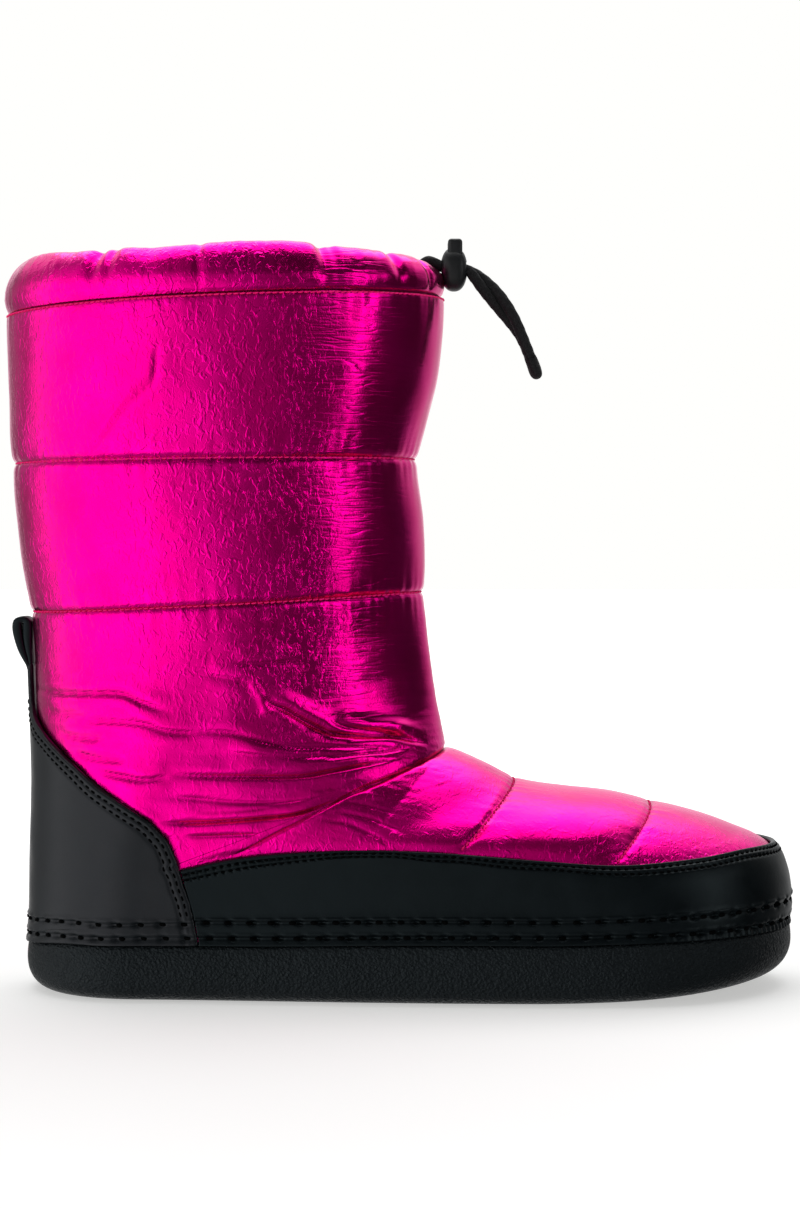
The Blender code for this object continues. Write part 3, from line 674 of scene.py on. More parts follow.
def apply_cut(item, *cutters):
    """Cuts boxes out of a piece for good, removes them and keeps only sharp edges unsmoothed."""
    for cutter in cutters:
        step = item.modifiers.new("cut", "BOOLEAN")
        step.operation = "DIFFERENCE"
        step.solver = "EXACT"
        step.object = cutter
    bpy.context.view_layer.update()
    graph = bpy.context.evaluated_depsgraph_get()
    mesh = bpy.data.meshes.new_from_object(item.evaluated_get(graph))
    item.modifiers.clear()
    item.data = mesh
    for cutter in cutters:
        bpy.data.objects.remove(cutter, do_unlink=True)
    mesh.polygons.foreach_set("use_smooth", np.ones(len(mesh.polygons), bool))
    mesh.set_sharp_from_angle(angle=math.radians(SHARP_EDGE_DEG))


# Material helpers

def grey(value):
    return (value, value, value, 1.0)


def tinted(colour, tone):
    return (*(tone * part for part in colour[:3]), 1.0)


class Nodes:
    """Adds nodes to one tree and hands back their outputs."""

    def __init__(self, tree):
        self.tree = tree

    def plug(self, made, inputs):
        """Links or sets the inputs of a node."""
        for key, value in inputs.items():
            if isinstance(value, bpy.types.NodeSocket):
                self.tree.links.new(value, made.inputs[key])
            else:
                made.inputs[key].default_value = value

    def add(self, kind, inputs=None, **settings):
        made = self.tree.nodes.new("ShaderNode" + kind)
        for key, value in settings.items():
            setattr(made, key, value)
        self.plug(made, inputs or {})
        return made.outputs

    def math(self, operation, *values):
        return self.add("Math", dict(enumerate(values)), operation=operation)[0]

    def times(self, first, *others):
        for other in others:
            first = self.math("MULTIPLY", first, other)
        return first

    def ramp(self, factor, *stops):
        """A ramp of colours, or of greys where a stop gives one number."""
        made = self.tree.nodes.new("ShaderNodeValToRGB")
        self.plug(made, {0: factor})
        stops = [(place, colour if isinstance(colour, tuple) else grey(colour)) for place, colour in stops]
        points = made.color_ramp.elements
        points[0].position, points[0].color = stops[0]
        points[1].position, points[1].color = stops[-1]
        for place, colour in stops[1:-1]:
            points.new(place).color = colour
        return made.outputs[0]

    def smooth_range(self, value, low, high, bottom, top):
        """Runs smoothly from bottom to top as a value goes from low to high."""
        inputs = {"Value": value, "From Min": low, "From Max": high, "To Min": bottom, "To Max": top}
        return self.add("MapRange", inputs, interpolation_type="SMOOTHSTEP")[0]

    def place(self):
        return self.add("TexCoord")["Object"]

    def stretched(self, scale, turn=(0.0, 0.0, 0.0)):
        """Object coordinates, stretched by a scale along each axis."""
        return self.add("Mapping", {"Vector": self.place(), "Scale": scale, "Rotation": turn})[0]

    def noise(self, vector, scale, detail=2.0, roughness=0.5, distortion=0.0):
        sizes = {"Scale": scale, "Detail": detail, "Roughness": roughness, "Distortion": distortion}
        return self.add("TexNoise", {"Vector": vector, **sizes})["Fac"]

    def cells(self, vector, scale):
        return self.add("TexVoronoi", {"Vector": vector, "Scale": scale})["Distance"]

    def creased(self, value, width):
        """Narrow valleys between flat swells, where a noise value crosses its middle."""
        off = self.math("ABSOLUTE", self.math("SUBTRACT", value, 0.5))
        return self.math("DIVIDE", off, self.math("ADD", off, width))

    def bump(self, height, distance, strength, under=None):
        inputs = {"Height": height, "Distance": distance, "Strength": strength}
        if under is not None:
            inputs["Normal"] = under
        return self.add("Bump", inputs)[0]


def new_material(name):
    made = bpy.data.materials.new(name)
    made.use_nodes = True
    return made, Nodes(made.node_tree), made.node_tree.nodes["Principled BSDF"]


# Materials

BOOT_SPAN = 0.3
PINK_DEEP, PINK_BRIGHT = (0.88, 0.0, 0.245, 1.0), (0.97, 0.0, 0.30, 1.0)
# Near-black red of the painted shade in folds and beside seams
PINK_PAINTED_SHADE = (0.09, 0.0, 0.012, 1.0)
LEATHER_DARK, LEATHER_LIGHT = (0.42, 0.68, 0.84), (0.74, 1.15, 1.42)
FLEECE_DARK, FLEECE_LIGHT = (0.5, 0.5, 0.53), (1.5, 1.5, 1.56)
COLD_TINT, PALE_TINT = (0.72, 0.93, 1.0, 1.0), (0.93, 0.93, 1.0, 1.0)


def pink_foil(name):
    """Metallic coated cloth: saturated pink with leathery crinkles, level ones at the shaft's front, and
    painted shade in folds and beside seams.
    """
    made, nodes, shader = new_material(name)
    place = nodes.place()
    parts = nodes.add("SeparateXYZ", {"Vector": place})
    ahead = nodes.math("MULTIPLY_ADD", parts["X"], 1.0 / BOOT_SPAN, 0.5)
    broad = nodes.noise(place, 34.0)
    patch = nodes.noise(place, 62.0, 2.0, 0.6, 0.3)
    leathery = nodes.noise(nodes.stretched((1.0, 1.0, 0.6), (0.0, 0.5, 0.0)), 520.0, 1.5, 0.5, 0.7)
    level = nodes.noise(nodes.stretched((0.11, 0.11, 1.0)), 480.0, 1.0, 0.5, 0.3)
    front = nodes.ramp(nodes.math("MULTIPLY_ADD", broad, 0.12, ahead), (0.44, 0.0), (0.50, 1.0))
    shaft = nodes.ramp(parts["Z"], (0.088, 0.0), (0.1, 1.0))
    streaks = nodes.ramp(ahead, (0.455, 0.6), (0.485, 0.2))
    crinkle = nodes.add(
        "Mix",
        {
            "Factor": nodes.times(front, shaft),
            "A": nodes.math("MULTIPLY_ADD", nodes.creased(leathery, 0.25), 0.6, leathery),
            "B": nodes.times(nodes.creased(level, 0.1), streaks),
        },
    )["Result"]
    along = nodes.ramp(
        ahead, (0.0, 0.5), (0.2, 0.7), (0.31, 0.95), (0.46, 0.9), (0.55, 0.6), (0.64, 0.85), (1.0, 0.6)
    )
    low = nodes.ramp(parts["Z"], (0.055, 0.9), (0.066, 0.4), (0.09, 0.4), (0.12, 1.0))
    patches = nodes.ramp(patch, (0.34, 0.5), (0.62, 1.0))
    crinkles = nodes.bump(nodes.times(crinkle, nodes.times(along, low, patches)), 0.00043, 0.9)
    grain = nodes.noise(place, 1700.0, 1.0)
    colour = nodes.ramp(patch, (0.3, PINK_DEEP), (0.7, PINK_BRIGHT))
    # Painted shade: the colour darkens towards the near-black red deep in folds and beside seams, by the
    # amount each point carries
    fold = nodes.times(nodes.add("Attribute", attribute_name="painted_shade")["Fac"], 0.9)
    rough = nodes.ramp(broad, (0.3, 0.16), (0.7, 0.22))
    satin = nodes.ramp(parts["Z"], (0.080, 0.08), (0.1, 0.0))
    nodes.plug(shader, {
        "Normal": nodes.bump(grain, 0.00005, 0.6, crinkles),
        "Base Color": nodes.add("Mix", {0: fold, 6: colour, 7: PINK_PAINTED_SHADE}, data_type="RGBA")[2],
        "Roughness": nodes.math("ADD", rough, satin),
        "Metallic": 1.0,
    })
    return made


def black_leather(name, tone, rough, gloss, tint):
    """Smooth coated leather: faint pores, soft unevenness."""
    made, nodes, shader = new_material(name)
    place = nodes.place()
    wave = nodes.noise(place, 120.0, 3.0)
    pores = nodes.bump(nodes.cells(place, 1500.0), 0.00004, 0.35)
    dark, light = tinted(LEATHER_DARK, tone), tinted(LEATHER_LIGHT, tone)
    nodes.plug(shader, {
        "Normal": nodes.bump(wave, 0.00025, 0.35, pores),
        "Base Color": nodes.ramp(wave, (0.3, dark), (0.7, light)),
        "Roughness": nodes.ramp(wave, (0.3, rough - 0.04), (0.7, rough + 0.05)),
        "Specular IOR Level": gloss,
        "Specular Tint": tint,
    })
    return made


def pebbled_rubber(name):
    made, nodes, shader = new_material(name)
    place = nodes.stretched((1.0, 1.0, 1.15))
    warp = nodes.noise(place, 560.0, 2.0, 0.6, 1.1)
    pebble = nodes.math("ADD", warp, nodes.times(nodes.cells(place, 850.0), -0.55))
    worn = nodes.noise(nodes.place(), 45.0, 3.0)
    dark, light = (0.0008, 0.0015, 0.0019, 1.0), (0.0018, 0.0028, 0.0034, 1.0)
    nodes.plug(shader, {
        "Normal": nodes.bump(pebble, 0.0006, 1.0),
        "Base Color": nodes.ramp(worn, (0.3, dark), (0.7, light)),
        "Roughness": nodes.ramp(pebble, (0.2, 0.5), (0.7, 0.28)),
        "Specular IOR Level": 0.21,
        "Specular Tint": (0.78, 0.93, 1.0, 1.0),
    })
    return made


def thread(name, colour, rough, gloss):
    """Twisted sewing thread."""
    made, nodes, shader = new_material(name)
    twist = nodes.noise(nodes.stretched((1.0, 1.0, 2.4), (0.0, 0.6, 0.0)), 2600.0, 1.0)
    nodes.plug(shader, {
        "Normal": nodes.bump(twist, 0.00008, 0.7),
        "Base Color": nodes.ramp(twist, (0.35, tinted(colour, 0.7)), (0.65, colour)),
        "Roughness": nodes.ramp(twist, (0.3, rough), (0.7, rough - 0.12)),
        "Specular IOR Level": gloss,
    })
    return made


def braided_cord(name):
    made, nodes, shader = new_material(name)
    fibre = nodes.noise(nodes.place(), 3200.0)
    dark, light = (0.0008, 0.0008, 0.0010, 1.0), (0.010, 0.010, 0.011, 1.0)
    nodes.plug(shader, {
        "Normal": nodes.bump(fibre, 0.0001, 0.7),
        "Base Color": nodes.ramp(fibre, (0.35, dark), (0.65, light)),
        "Roughness": nodes.ramp(fibre, (0.3, 0.8), (0.7, 0.6)),
        "Specular IOR Level": 0.2,
        "Sheen Weight": 0.03,
    })
    return made


def moulded_plastic(name):
    made, nodes, shader = new_material(name)
    cloud = nodes.noise(nodes.place(), 240.0)
    dark, light = (0.004, 0.0045, 0.005, 1.0), (0.007, 0.008, 0.009, 1.0)
    nodes.plug(shader, {
        "Normal": nodes.bump(nodes.noise(nodes.place(), 2200.0), 0.00005, 0.5),
        "Base Color": nodes.ramp(cloud, (0.3, dark), (0.7, light)),
        "Roughness": nodes.ramp(cloud, (0.3, 0.34), (0.7, 0.44)),
        "Specular IOR Level": 0.3,
    })
    return made


def dark_fleece(name, tone):
    """Short plush pile of the lining."""
    made, nodes, shader = new_material(name)
    place = nodes.place()
    pile = nodes.noise(place, 900.0, 4.0, 0.65, 0.4)
    both = nodes.math("ADD", pile, nodes.noise(place, 190.0, 3.0, 0.6, 0.6))
    dark, light = tinted(FLEECE_DARK, tone), tinted(FLEECE_LIGHT, tone)
    nodes.plug(shader, {
        "Normal": nodes.bump(both, 0.0012, 0.9),
        "Base Color": nodes.ramp(both, (0.75, dark), (1.2, light)),
        "Roughness": nodes.ramp(pile, (0.3, 1.0), (0.7, 0.85)),
        "Sheen Weight": 0.5,
        "Sheen Roughness": 0.6,
    })
    return made


PINK = pink_foil("pink_foil")
MUDGUARD_BLACK = black_leather("mudguard_leather_fine", 0.0026, 0.32, 0.15, COLD_TINT)
COUNTER_BLACK = black_leather("counter_leather_fine", 0.0045, 0.33, 0.26, PALE_TINT)
LOOP_BLACK = black_leather("loop_leather_fine", 0.0030, 0.45, 0.22, COLD_TINT)
RUBBER = pebbled_rubber("pebbled_rubber")
CRIMSON = thread("crimson_thread", (0.85, 0.008, 0.17, 1.0), 0.7, 0.12)
BLACK_THREAD = thread("black_thread", (0.0006, 0.0007, 0.0008, 1.0), 0.8, 0.03)
CORD = braided_cord("cord_fibre")
PLASTIC = moulded_plastic("toggle_satin")
FLEECE = dark_fleece("lining_fleece", 0.018)
FELT = dark_fleece("insole_fleece", 0.030)


# Upper

FOLD_STEPS = 60
FOLD_REACH = 9.0
FOLD_REACH_WIDTHS = 2.8
FOLD_TAPER = 0.22
FOLD_END = 2.2
SWELL_AT = 3.3
SWELL_WIDTH = 2.7
# Fold depth at which a fold's painted shade is full
FULL_SHADE_DEPTH = 2.0
# Waves of the surface: size, cell and seed
SHELL_WAVES = [(0.55, 34.0, 3), (0.2, 15.0, 5), (0.06, (5.5, 5.5, 7.5), 7)]
ANKLE_WAVES = [(0.34, (24.0, 24.0, 3.6), 9), (0.16, (11.0, 11.0, 1.9), 19)]
THROAT_WAVES = [(0.26, (15.0, 15.0, 2.1), 15), (0.22, (15.0 / 1.9, 15.0 / 1.9, 2.1 / 1.9), 21)]
ANKLE_HEIGHT = 86.0
ANKLE_REACH = 26.0
ROW_STEP = 0.1
SHAFT_GIRTH = 420.0
# Seams round the shaft: row, depth, width and gathers
SHAFT_SEAMS = [(17.0, 1.0, 1.2, 0.5), (19.0, 1.0, 1.2, 0.5), (21.0, 0.3, 0.8, 0.4)]
SHAFT_PLEAT = 3.4
SHAFT_GATHER_REACH = 5.5
# Seams over the vamp, and the throat: where the vamp meets the shaft's front
VAMP_NOTCH = (0.8, 0.9)
VAMP_GATHER = 0.75
VAMP_GATHER_WIDTH = 2.6
VAMP_GATHER_HEIGHT = 7.0
VAMP_GATHER_REACH = 4.5
THROAT_NOTCH = (1.0, 0.8)
THROAT_FROM = 112.0
THROAT_WAVES_FROM = 84.0
THROAT_FADE = 24.0
THROAT_REACH_DOWN = 15.0
THROAT_REACH_UP = 4.0
# Painted shade along the seams: strength and width
SHAFT_SHADE = (0.4, 0.7)
THROAT_SHADE = (0.7, 0.6)
VAMP_SHADE = (0.6, 0.6)
# Strips beside the leather where the relief fades out
COVERED_SINK = 0.12
EDGE_CLEAR = 0.4
EDGE_FADE = 3.0
TAIL_CLEAR = 1.0
TAIL_FADE = 4.0
COUNTER_EDGE_TOP = 105.0
# Stitches: pitch, length as a share of it, width, lift and slant in degrees
QUILT_STITCH = (2.3, 0.9, 0.6, 0.22, 6.0)
VAMP_STITCH = (2.3, 0.85, 0.8, 0.55, 8.0)
QUILT_STITCH_ROWS = [17.0, 19.0, 20.985]
VAMP_STITCH_CLEAR = 1.2
FOOT_LOW_ROW = 4.0


def waves(points, table):
    return sum(size * lattice_noise(points / np.array(cell), seed) for size, cell, seed in table)


def fold_relief(points):
    """Soft troughs and ridges along the folds, and the painted shade each point gets deep in a fold."""
    relief = np.zeros(points.shape[:-1])
    painted_shade = np.zeros(points.shape[:-1])
    for side, path, width, depth, above, below in FOLDS:
        path = smooth_path(path, FOLD_STEPS)
        near = points[..., 1] * side > 0.0
        reach = max(FOLD_REACH, FOLD_REACH_WIDTHS * width)
        for axis, column in ((0, 0), (2, 1)):
            near &= points[..., axis] > path[:, column].min() - reach
            near &= points[..., axis] < path[:, column].max() + reach
        seen = points[near][:, [0, 2]]
        if not len(seen):
            continue
        gap = seen[:, None, :] - path[None, :, :]
        nearest = np.linalg.norm(gap, axis=-1).argmin(axis=1)
        way = unit(np.gradient(path, axis=0))[nearest]
        off = gap[np.arange(len(seen)), nearest]
        over = way[:, 0] * off[:, 1] - way[:, 1] * off[:, 0]
        share = nearest / (len(path) - 1.0)
        taper = smoothstep(np.minimum(share, 1.0 - share) / FOLD_TAPER + 0.08)
        taper = taper * bell((way * off).sum(-1), FOLD_END)
        trough = np.exp(-(np.abs(over / width) ** (1.3 if depth > 0.0 else 2.0)))
        swell = above * bell(over - SWELL_AT, SWELL_WIDTH) + below * bell(over + SWELL_AT, SWELL_WIDTH)
        relief[near] += (swell - depth * trough) * taper
        # Painted shade, deepest in the fold's trough
        painted_shade[near] += np.clip(depth / FULL_SHADE_DEPTH, 0.0, 1.0) * trough**1.5 * taper
    return relief, painted_shade


def notch(distance, depth, width):
    return -depth * np.exp(-(np.abs(distance / width) ** 1.4))


def free_share(v, points):
    """1 where the pink shell shows, 0 under the mudguard and the heel counter."""
    x, y, z = np.moveaxis(points, -1, 0)
    from_tail = np.hypot(y, x - skin(0.5, v)[..., 0]) - TAIL_HALF_WIDTH
    tail = np.where(z > TAIL_TOP + TAIL_CLEAR, 1.0, smoothstep((from_tail - TAIL_CLEAR) / TAIL_FADE))
    beside = smoothstep((ahead_of_counter(points) - EDGE_CLEAR) / EDGE_FADE)
    beside = np.maximum(beside, smoothstep((z - COUNTER_EDGE_TOP) / TAIL_FADE))
    return smoothstep((z - read_table(MUDGUARD_TOP, x) - EDGE_CLEAR) / EDGE_FADE) * beside * tail


def shade(distance, strength, width):
    return strength * bell(distance, width)


def shell_relief(u, v):
    """All that stands on or sinks into the padded shell beyond the quilt's own swell, and the painted shade
    of its seams and folds.
    """
    points, normal = skin(u, v), skin_normal(u, v)
    x, y, z = np.moveaxis(points, -1, 0)
    upper, lower = np.minimum(v + ROW_STEP, TOP_ROW), np.maximum(v - ROW_STEP, 0.0)
    row_size = np.linalg.norm(skin(u, upper) - skin(u, lower), axis=-1) / (upper - lower)
    ankle = bell(z - ANKLE_HEIGHT, ANKLE_REACH) * (v > ANKLE_ROW - 1.0)
    relief = waves(points, SHELL_WAVES) + ankle * waves(points, ANKLE_WAVES)
    # Painted shade beside the seams and deep in the folds, kept only where the pink shows
    painted_shade = np.zeros_like(relief)
    pleat_at = stacked(np.abs(wrapped(u)) * SHAFT_GIRTH / SHAFT_PLEAT, np.sign(u) * 5.0 + v * 0.25, 0.0)
    pleat = lattice_noise(pleat_at, 11) + 0.6 * lattice_noise(pleat_at * np.array([0.45, 1.0, 1.0]), 13)
    for row, depth, width, gather in SHAFT_SEAMS:
        distance = (v - row) * row_size
        relief += notch(distance, depth, width)
        relief += gather * pleat * np.exp(-np.abs(distance) / SHAFT_GATHER_REACH)
        painted_shade += shade(distance, *SHAFT_SHADE)
    distance = (v - ANKLE_ROW) * row_size
    throat = smoothstep((x - THROAT_FROM) / THROAT_FADE)
    relief += notch(distance, *THROAT_NOTCH) * throat
    painted_shade += shade(distance, *THROAT_SHADE) * throat
    reach = np.where(distance < 0.0, THROAT_REACH_DOWN, THROAT_REACH_UP)
    beside = np.exp(-np.abs(distance) / reach) * smoothstep((x - THROAT_WAVES_FROM) / THROAT_FADE)
    relief += beside * waves(stacked(x - 0.3 * z, y, z + 0.3 * x), THROAT_WAVES)
    lean = np.sqrt(np.maximum(2.0 - (normal[..., 0] - normal[..., 2]) ** 2, 0.05))
    on_foot = v < ANKLE_ROW
    for seam in VAMP_SEAMS[1:3]:
        distance = (x - z - seam) / lean
        gathers = lattice_noise(stacked(y / VAMP_GATHER_WIDTH, z / VAMP_GATHER_HEIGHT, seam), 17)
        gathers = VAMP_GATHER * gathers * np.exp(-np.abs(distance) / VAMP_GATHER_REACH)
        relief += (notch(distance, *VAMP_NOTCH) + gathers) * on_foot
        painted_shade += shade(distance, *VAMP_SHADE) * on_foot
    folds, fold_painted_shade = fold_relief(points)
    free = free_share(v, points)
    painted_shade = np.clip(painted_shade + fold_painted_shade, 0.0, 1.0) * free
    return (relief + folds) * free - COVERED_SINK * (1.0 - free), painted_shade


def quilted(u, v):
    """Points of the finished shell, and the painted shade each one gets in a fold or beside a seam."""
    u, v = np.broadcast_arrays(np.asarray(u, float), np.asarray(v, float))
    relief, painted_shade = shell_relief(u, v)
    return bent(padded(u, v, relief)), painted_shade


def paint_fold_shade(piece, painted_shade):
    """Gives the first points of a piece their painted shade from folds and seams, which the pink material
    darkens its colour by.
    """
    values = np.zeros(len(piece.data.vertices), np.float32)
    values[: painted_shade.size] = painted_shade.ravel()
    piece.data.attributes.new("painted_shade", "FLOAT", "POINT").data.foreach_set("value", values)


def crowded_rows(low, high, count):
    """Rows from low up to high, closer together beside both."""
    t = np.arange(count) / count
    return low + (high - low) * (t - 0.5 * np.sin(2.0 * math.pi * t) / (2.0 * math.pi))


def build_upper():
    """The padded shell with its lining: the foot, the ankle panel and the shaft's two panels."""
    ankle, first, second, top = SHAFT_SEAM_ROWS
    covered = np.linspace(0.0, FOOT_LOW_ROW, 8, endpoint=False)
    panels = (crowded_rows(first, second, 46), crowded_rows(second, top, 48))
    parts = (
        ("quilted_foot", FOOT_AROUND, (covered, crowded_rows(FOOT_LOW_ROW, ankle, 140), [ankle])),
        ("quilted_ankle", ANKLE_AROUND, (crowded_rows(ankle, first, 165), [first])),
        ("quilted_shaft", SHAFT_AROUND, (*panels, [top])),
    )
    for name, around, rows in parts:
        rows = np.concatenate(rows)
        u = wrapped(np.arange(around) / around)[None, :]
        lining = bent(padded(u, np.linspace(rows[0], rows[-1], LINING_ROWS)[:, None], -WALL))
        outer, painted_shade = quilted(u, rows[:, None])
        piece = make_shell(name, outer, lining, True, [PINK, FLEECE])
        paint_fold_shade(piece, painted_shade)
        dress(piece, "upper")


def seam_line(u, v):
    return quilted(u, v)[0], skin_normal(u, v)


def build_quilt_stitches():
    around = np.linspace(-0.5, 0.5, 900)
    rows = [stitch_row(*seam_line(around, row), *QUILT_STITCH) for row in QUILT_STITCH_ROWS]
    v = np.linspace(0.0, ANKLE_ROW, 521)
    for seam in VAMP_SEAMS[1:3]:
        path = []
        for u in np.linspace(-0.3, 0.3, 601):
            line = skin(u, v)
            place = line[:, 0] - line[:, 2] - seam
            if place[0] < 0.0 or place[-1] > 0.0:
                continue
            found = np.interp(0.0, -place, v)
            spot = skin(u, found)
            if spot[2] - read_table(MUDGUARD_TOP, spot[0]) > VAMP_STITCH_CLEAR:
                path.append((u, found))
        rows.append(stitch_row(*seam_line(*np.array(path).T), *VAMP_STITCH))
    make_stitches("quilt_stitches", rows, CRIMSON)


# Collar

# Bumps and puckers round the collar: place, width and size
COLLAR_BUMPS = [
    (-0.42, 0.030, 0.8), (-0.335, 0.030, 0.7), (-0.235, 0.050, 2.4), (-0.175, 0.040, 2.6),
    (-0.115, 0.035, 1.8), (-0.06, 0.035, 1.6), (0.07, 0.035, 1.5), (0.16, 0.040, 2.0),
    (0.25, 0.045, 1.8), (0.34, 0.040, 1.2), (0.43, 0.035, 0.9),
]
COLLAR_PUCKERS = [
    (-0.352, 0.0060, 1.5), (-0.338, 0.0050, 0.9), (-0.262, 0.0035, 0.6), (-0.157, 0.0055, 1.6),
    (-0.148, 0.0045, 0.8), (-0.086, 0.0055, 1.2), (-0.045, 0.0040, 0.9), (0.05, 0.0050, 1.1),
    (0.12, 0.0055, 1.3), (0.2, 0.0050, 1.0), (0.295, 0.0060, 1.4), (0.38, 0.0050, 1.1), (0.46, 0.0050, 0.9),
]
COLLAR_TUCK = 0.35
COLLAR_FRONT_FULL = 1.7
COLLAR_GIRTH = 430.0
COLLAR_OUTLINE_STEPS = 61


def build_collar():
    u = wrapped(np.arange(COLLAR_AROUND) / COLLAR_AROUND)
    seam, normal = skin(u, TOP_ROW), plan_normal(u, TOP_ROW)
    share = (seam[:, 0] - seam[:, 0].min()) / np.ptp(seam[:, 0])
    foot = seam[:, 2] + GAP - COLLAR_TUCK
    top = CASING_TOP_BACK + (CASING_TOP_FRONT - CASING_TOP_BACK) * share
    front_full = COLLAR_FRONT_FULL * bell(u, 0.06)
    bumps, puckers = (
        sum(size * bell(wrapped(u - place), width) for place, width, size in table)
        for table in (COLLAR_BUMPS, COLLAR_PUCKERS)
    )
    around = np.abs(u) * COLLAR_GIRTH
    broad = stacked(around / 8.5, np.sign(u) * 3.0, 0.0)
    fine = stacked(around / 3.0, np.sign(u) * 7.0, 0.0)
    outline = smooth_path([*CASING_SECTION, CASING_SECTION[0]], COLLAR_OUTLINE_STEPS)[:-1]
    rings = []
    for k, (offset, height) in enumerate(outline):
        out_face = smoothstep((offset + 9.0) / 5.0)
        high = np.clip(height, 0.0, 1.0)
        drift = np.array([0.0, 0.0, k / 26.0])
        wave = 0.6 * lattice_noise(broad + drift, 23) * (0.1 + 0.9 * high)
        wave += 0.22 * lattice_noise(fine + drift, 29) * (0.3 + 0.7 * high)
        pinch = puckers * (0.2 + 0.8 * smoothstep(high / 0.8))
        swell = 0.5 * math.sin(math.pi * min(high / 0.9, 1.0))
        full = front_full * smoothstep((high - 0.3) / 0.4)
        outwards = offset - CASING_FRONT_DENT * share + (wave - pinch + swell + full) * out_face
        outwards -= 0.5 * (1.0 - out_face) * pinch
        ring = seam + normal * outwards[:, None]
        lifted = (bumps - 0.9 * puckers + 0.7 * wave) * smoothstep((high - 0.45) / 0.5)
        ring[:, 2] = foot + (top - foot) * height + lifted
        rings.append(ring)
    total = len(rings) * COLLAR_AROUND
    faces = [[n % total for n in face] for face in grid_faces(len(rings) + 1, COLLAR_AROUND, True)]
    inside = [offset < -9.0 or (offset < -6.0 and height < 0.5) for offset, height in outline]
    slots = np.repeat(inside, COLLAR_AROUND)
    collar = make_piece("gathered_collar", np.array(rings), faces, [PINK, FLEECE], slots)
    dress(collar, "collar_casing")


# Mudguard and heel counter

LOW_ROW_HEIGHT = 2.9
HIGH_ROW_HEIGHT = 9.2
HEEL_HIGH_ROW_HEIGHT = 8.4
SOLE_ROW_LIPS = [0.4, 0.5]
EDGE_ROWS = [2.0, 4.2]
BETWEEN_EDGE_ROWS = 3.1
SOLE_STITCH_PITCH = 8.4
EDGE_STITCH_PITCH = 3.0
SOLE_STITCH = (SOLE_STITCH_PITCH, 0.36, 1.6, 0.2)
EDGE_STITCH = (EDGE_STITCH_PITCH, 0.7, 0.75, 0.14)
FLANGE_REACH = 1.4
PLEAT_HEIGHT = 1.6
MUDGUARD_WAVES = [(0.22, 26.0, 31), (0.08, 26.0 / 3.1, 37)]
COUNTER_WAVES = [(0.25, 30.0, 41), (0.1, 9.0, 43)]
# Evenly spaced climbs near the sole and near the top edge, as far as these heights
BAND_LOW = 12.0
BAND_HIGH = 6.0
TAIL_BARE_FROM = 108.0
EDGE_STITCH_FROM = 4.0


def rounded_edge(distance, thickness, width):
    """Loss of thickness towards a rolled edge."""
    t = np.clip(1.0 - distance / width, 0.0, 1.0)
    return -thickness * (1.0 - np.sqrt(np.maximum(1.0 - t**2, 0.0)))


def at_climb(values, rise, climb):
    """Values of a grid's columns at given climbs above the sole."""
    climb = np.broadcast_to(climb, (*np.shape(climb)[:-1], rise.shape[1]))
    columns = range(rise.shape[1])
    return np.stack([read_columns(climb[..., j], rise[:, j], values[:, j]) for j in columns], axis=-2)


def stitch_wave(path, pitch):
    """A wave along a row of stitches: 1 at each needle hole and -1 under the middle of each stitch."""
    gone = walked(path)
    return np.cos(2.0 * math.pi * gone / gone[-1] * round(gone[-1] / pitch))


def sole_rows_relief(rise, heights, paths):
    """Rows of coarse stitches above the sole: a thin groove, a dimple under each stitch and a lip above."""
    relief = np.zeros_like(rise)
    for height, path, lip in zip(heights, paths, SOLE_ROW_LIPS):
        off = rise - height
        dimples = np.clip(-stitch_wave(path, SOLE_STITCH_PITCH), 0.0, 1.0) ** 1.5
        relief -= 0.3 * bell(off, 0.55) + 1.1 * dimples * bell(off, 0.95)
        relief += lip * (1.0 - 0.6 * dimples) * bell(off - 1.6, 0.7)
    low, high = heights
    relief += 0.35 * np.sin(math.pi * np.clip((rise - low) / (high - low), 0.0, 1.0))
    relief += 0.25 * np.sin(math.pi * np.clip(rise / low, 0.0, 1.0))
    return relief


def sole_pleats(base, rise, size, reach, spacing, height):
    """Small pleats above the sole, round the toe or the heel."""
    gone = walked(base[0])
    along = gone - gone[-1] / 2.0
    folds = np.cos(2.0 * math.pi * along / spacing) * bell(rise - PLEAT_HEIGHT, height)
    return size * bell(along, reach) * folds


def leather_faces(u, v, thickness, bulge, inner_rows):
    """The outer face of a leather piece with its relief, and its plain inner face."""
    outer = bent(padded(u, v, OVERLAY_GAP + thickness + bulge))
    return outer, bent(padded(u[inner_rows], v[inner_rows], OVERLAY_GAP))


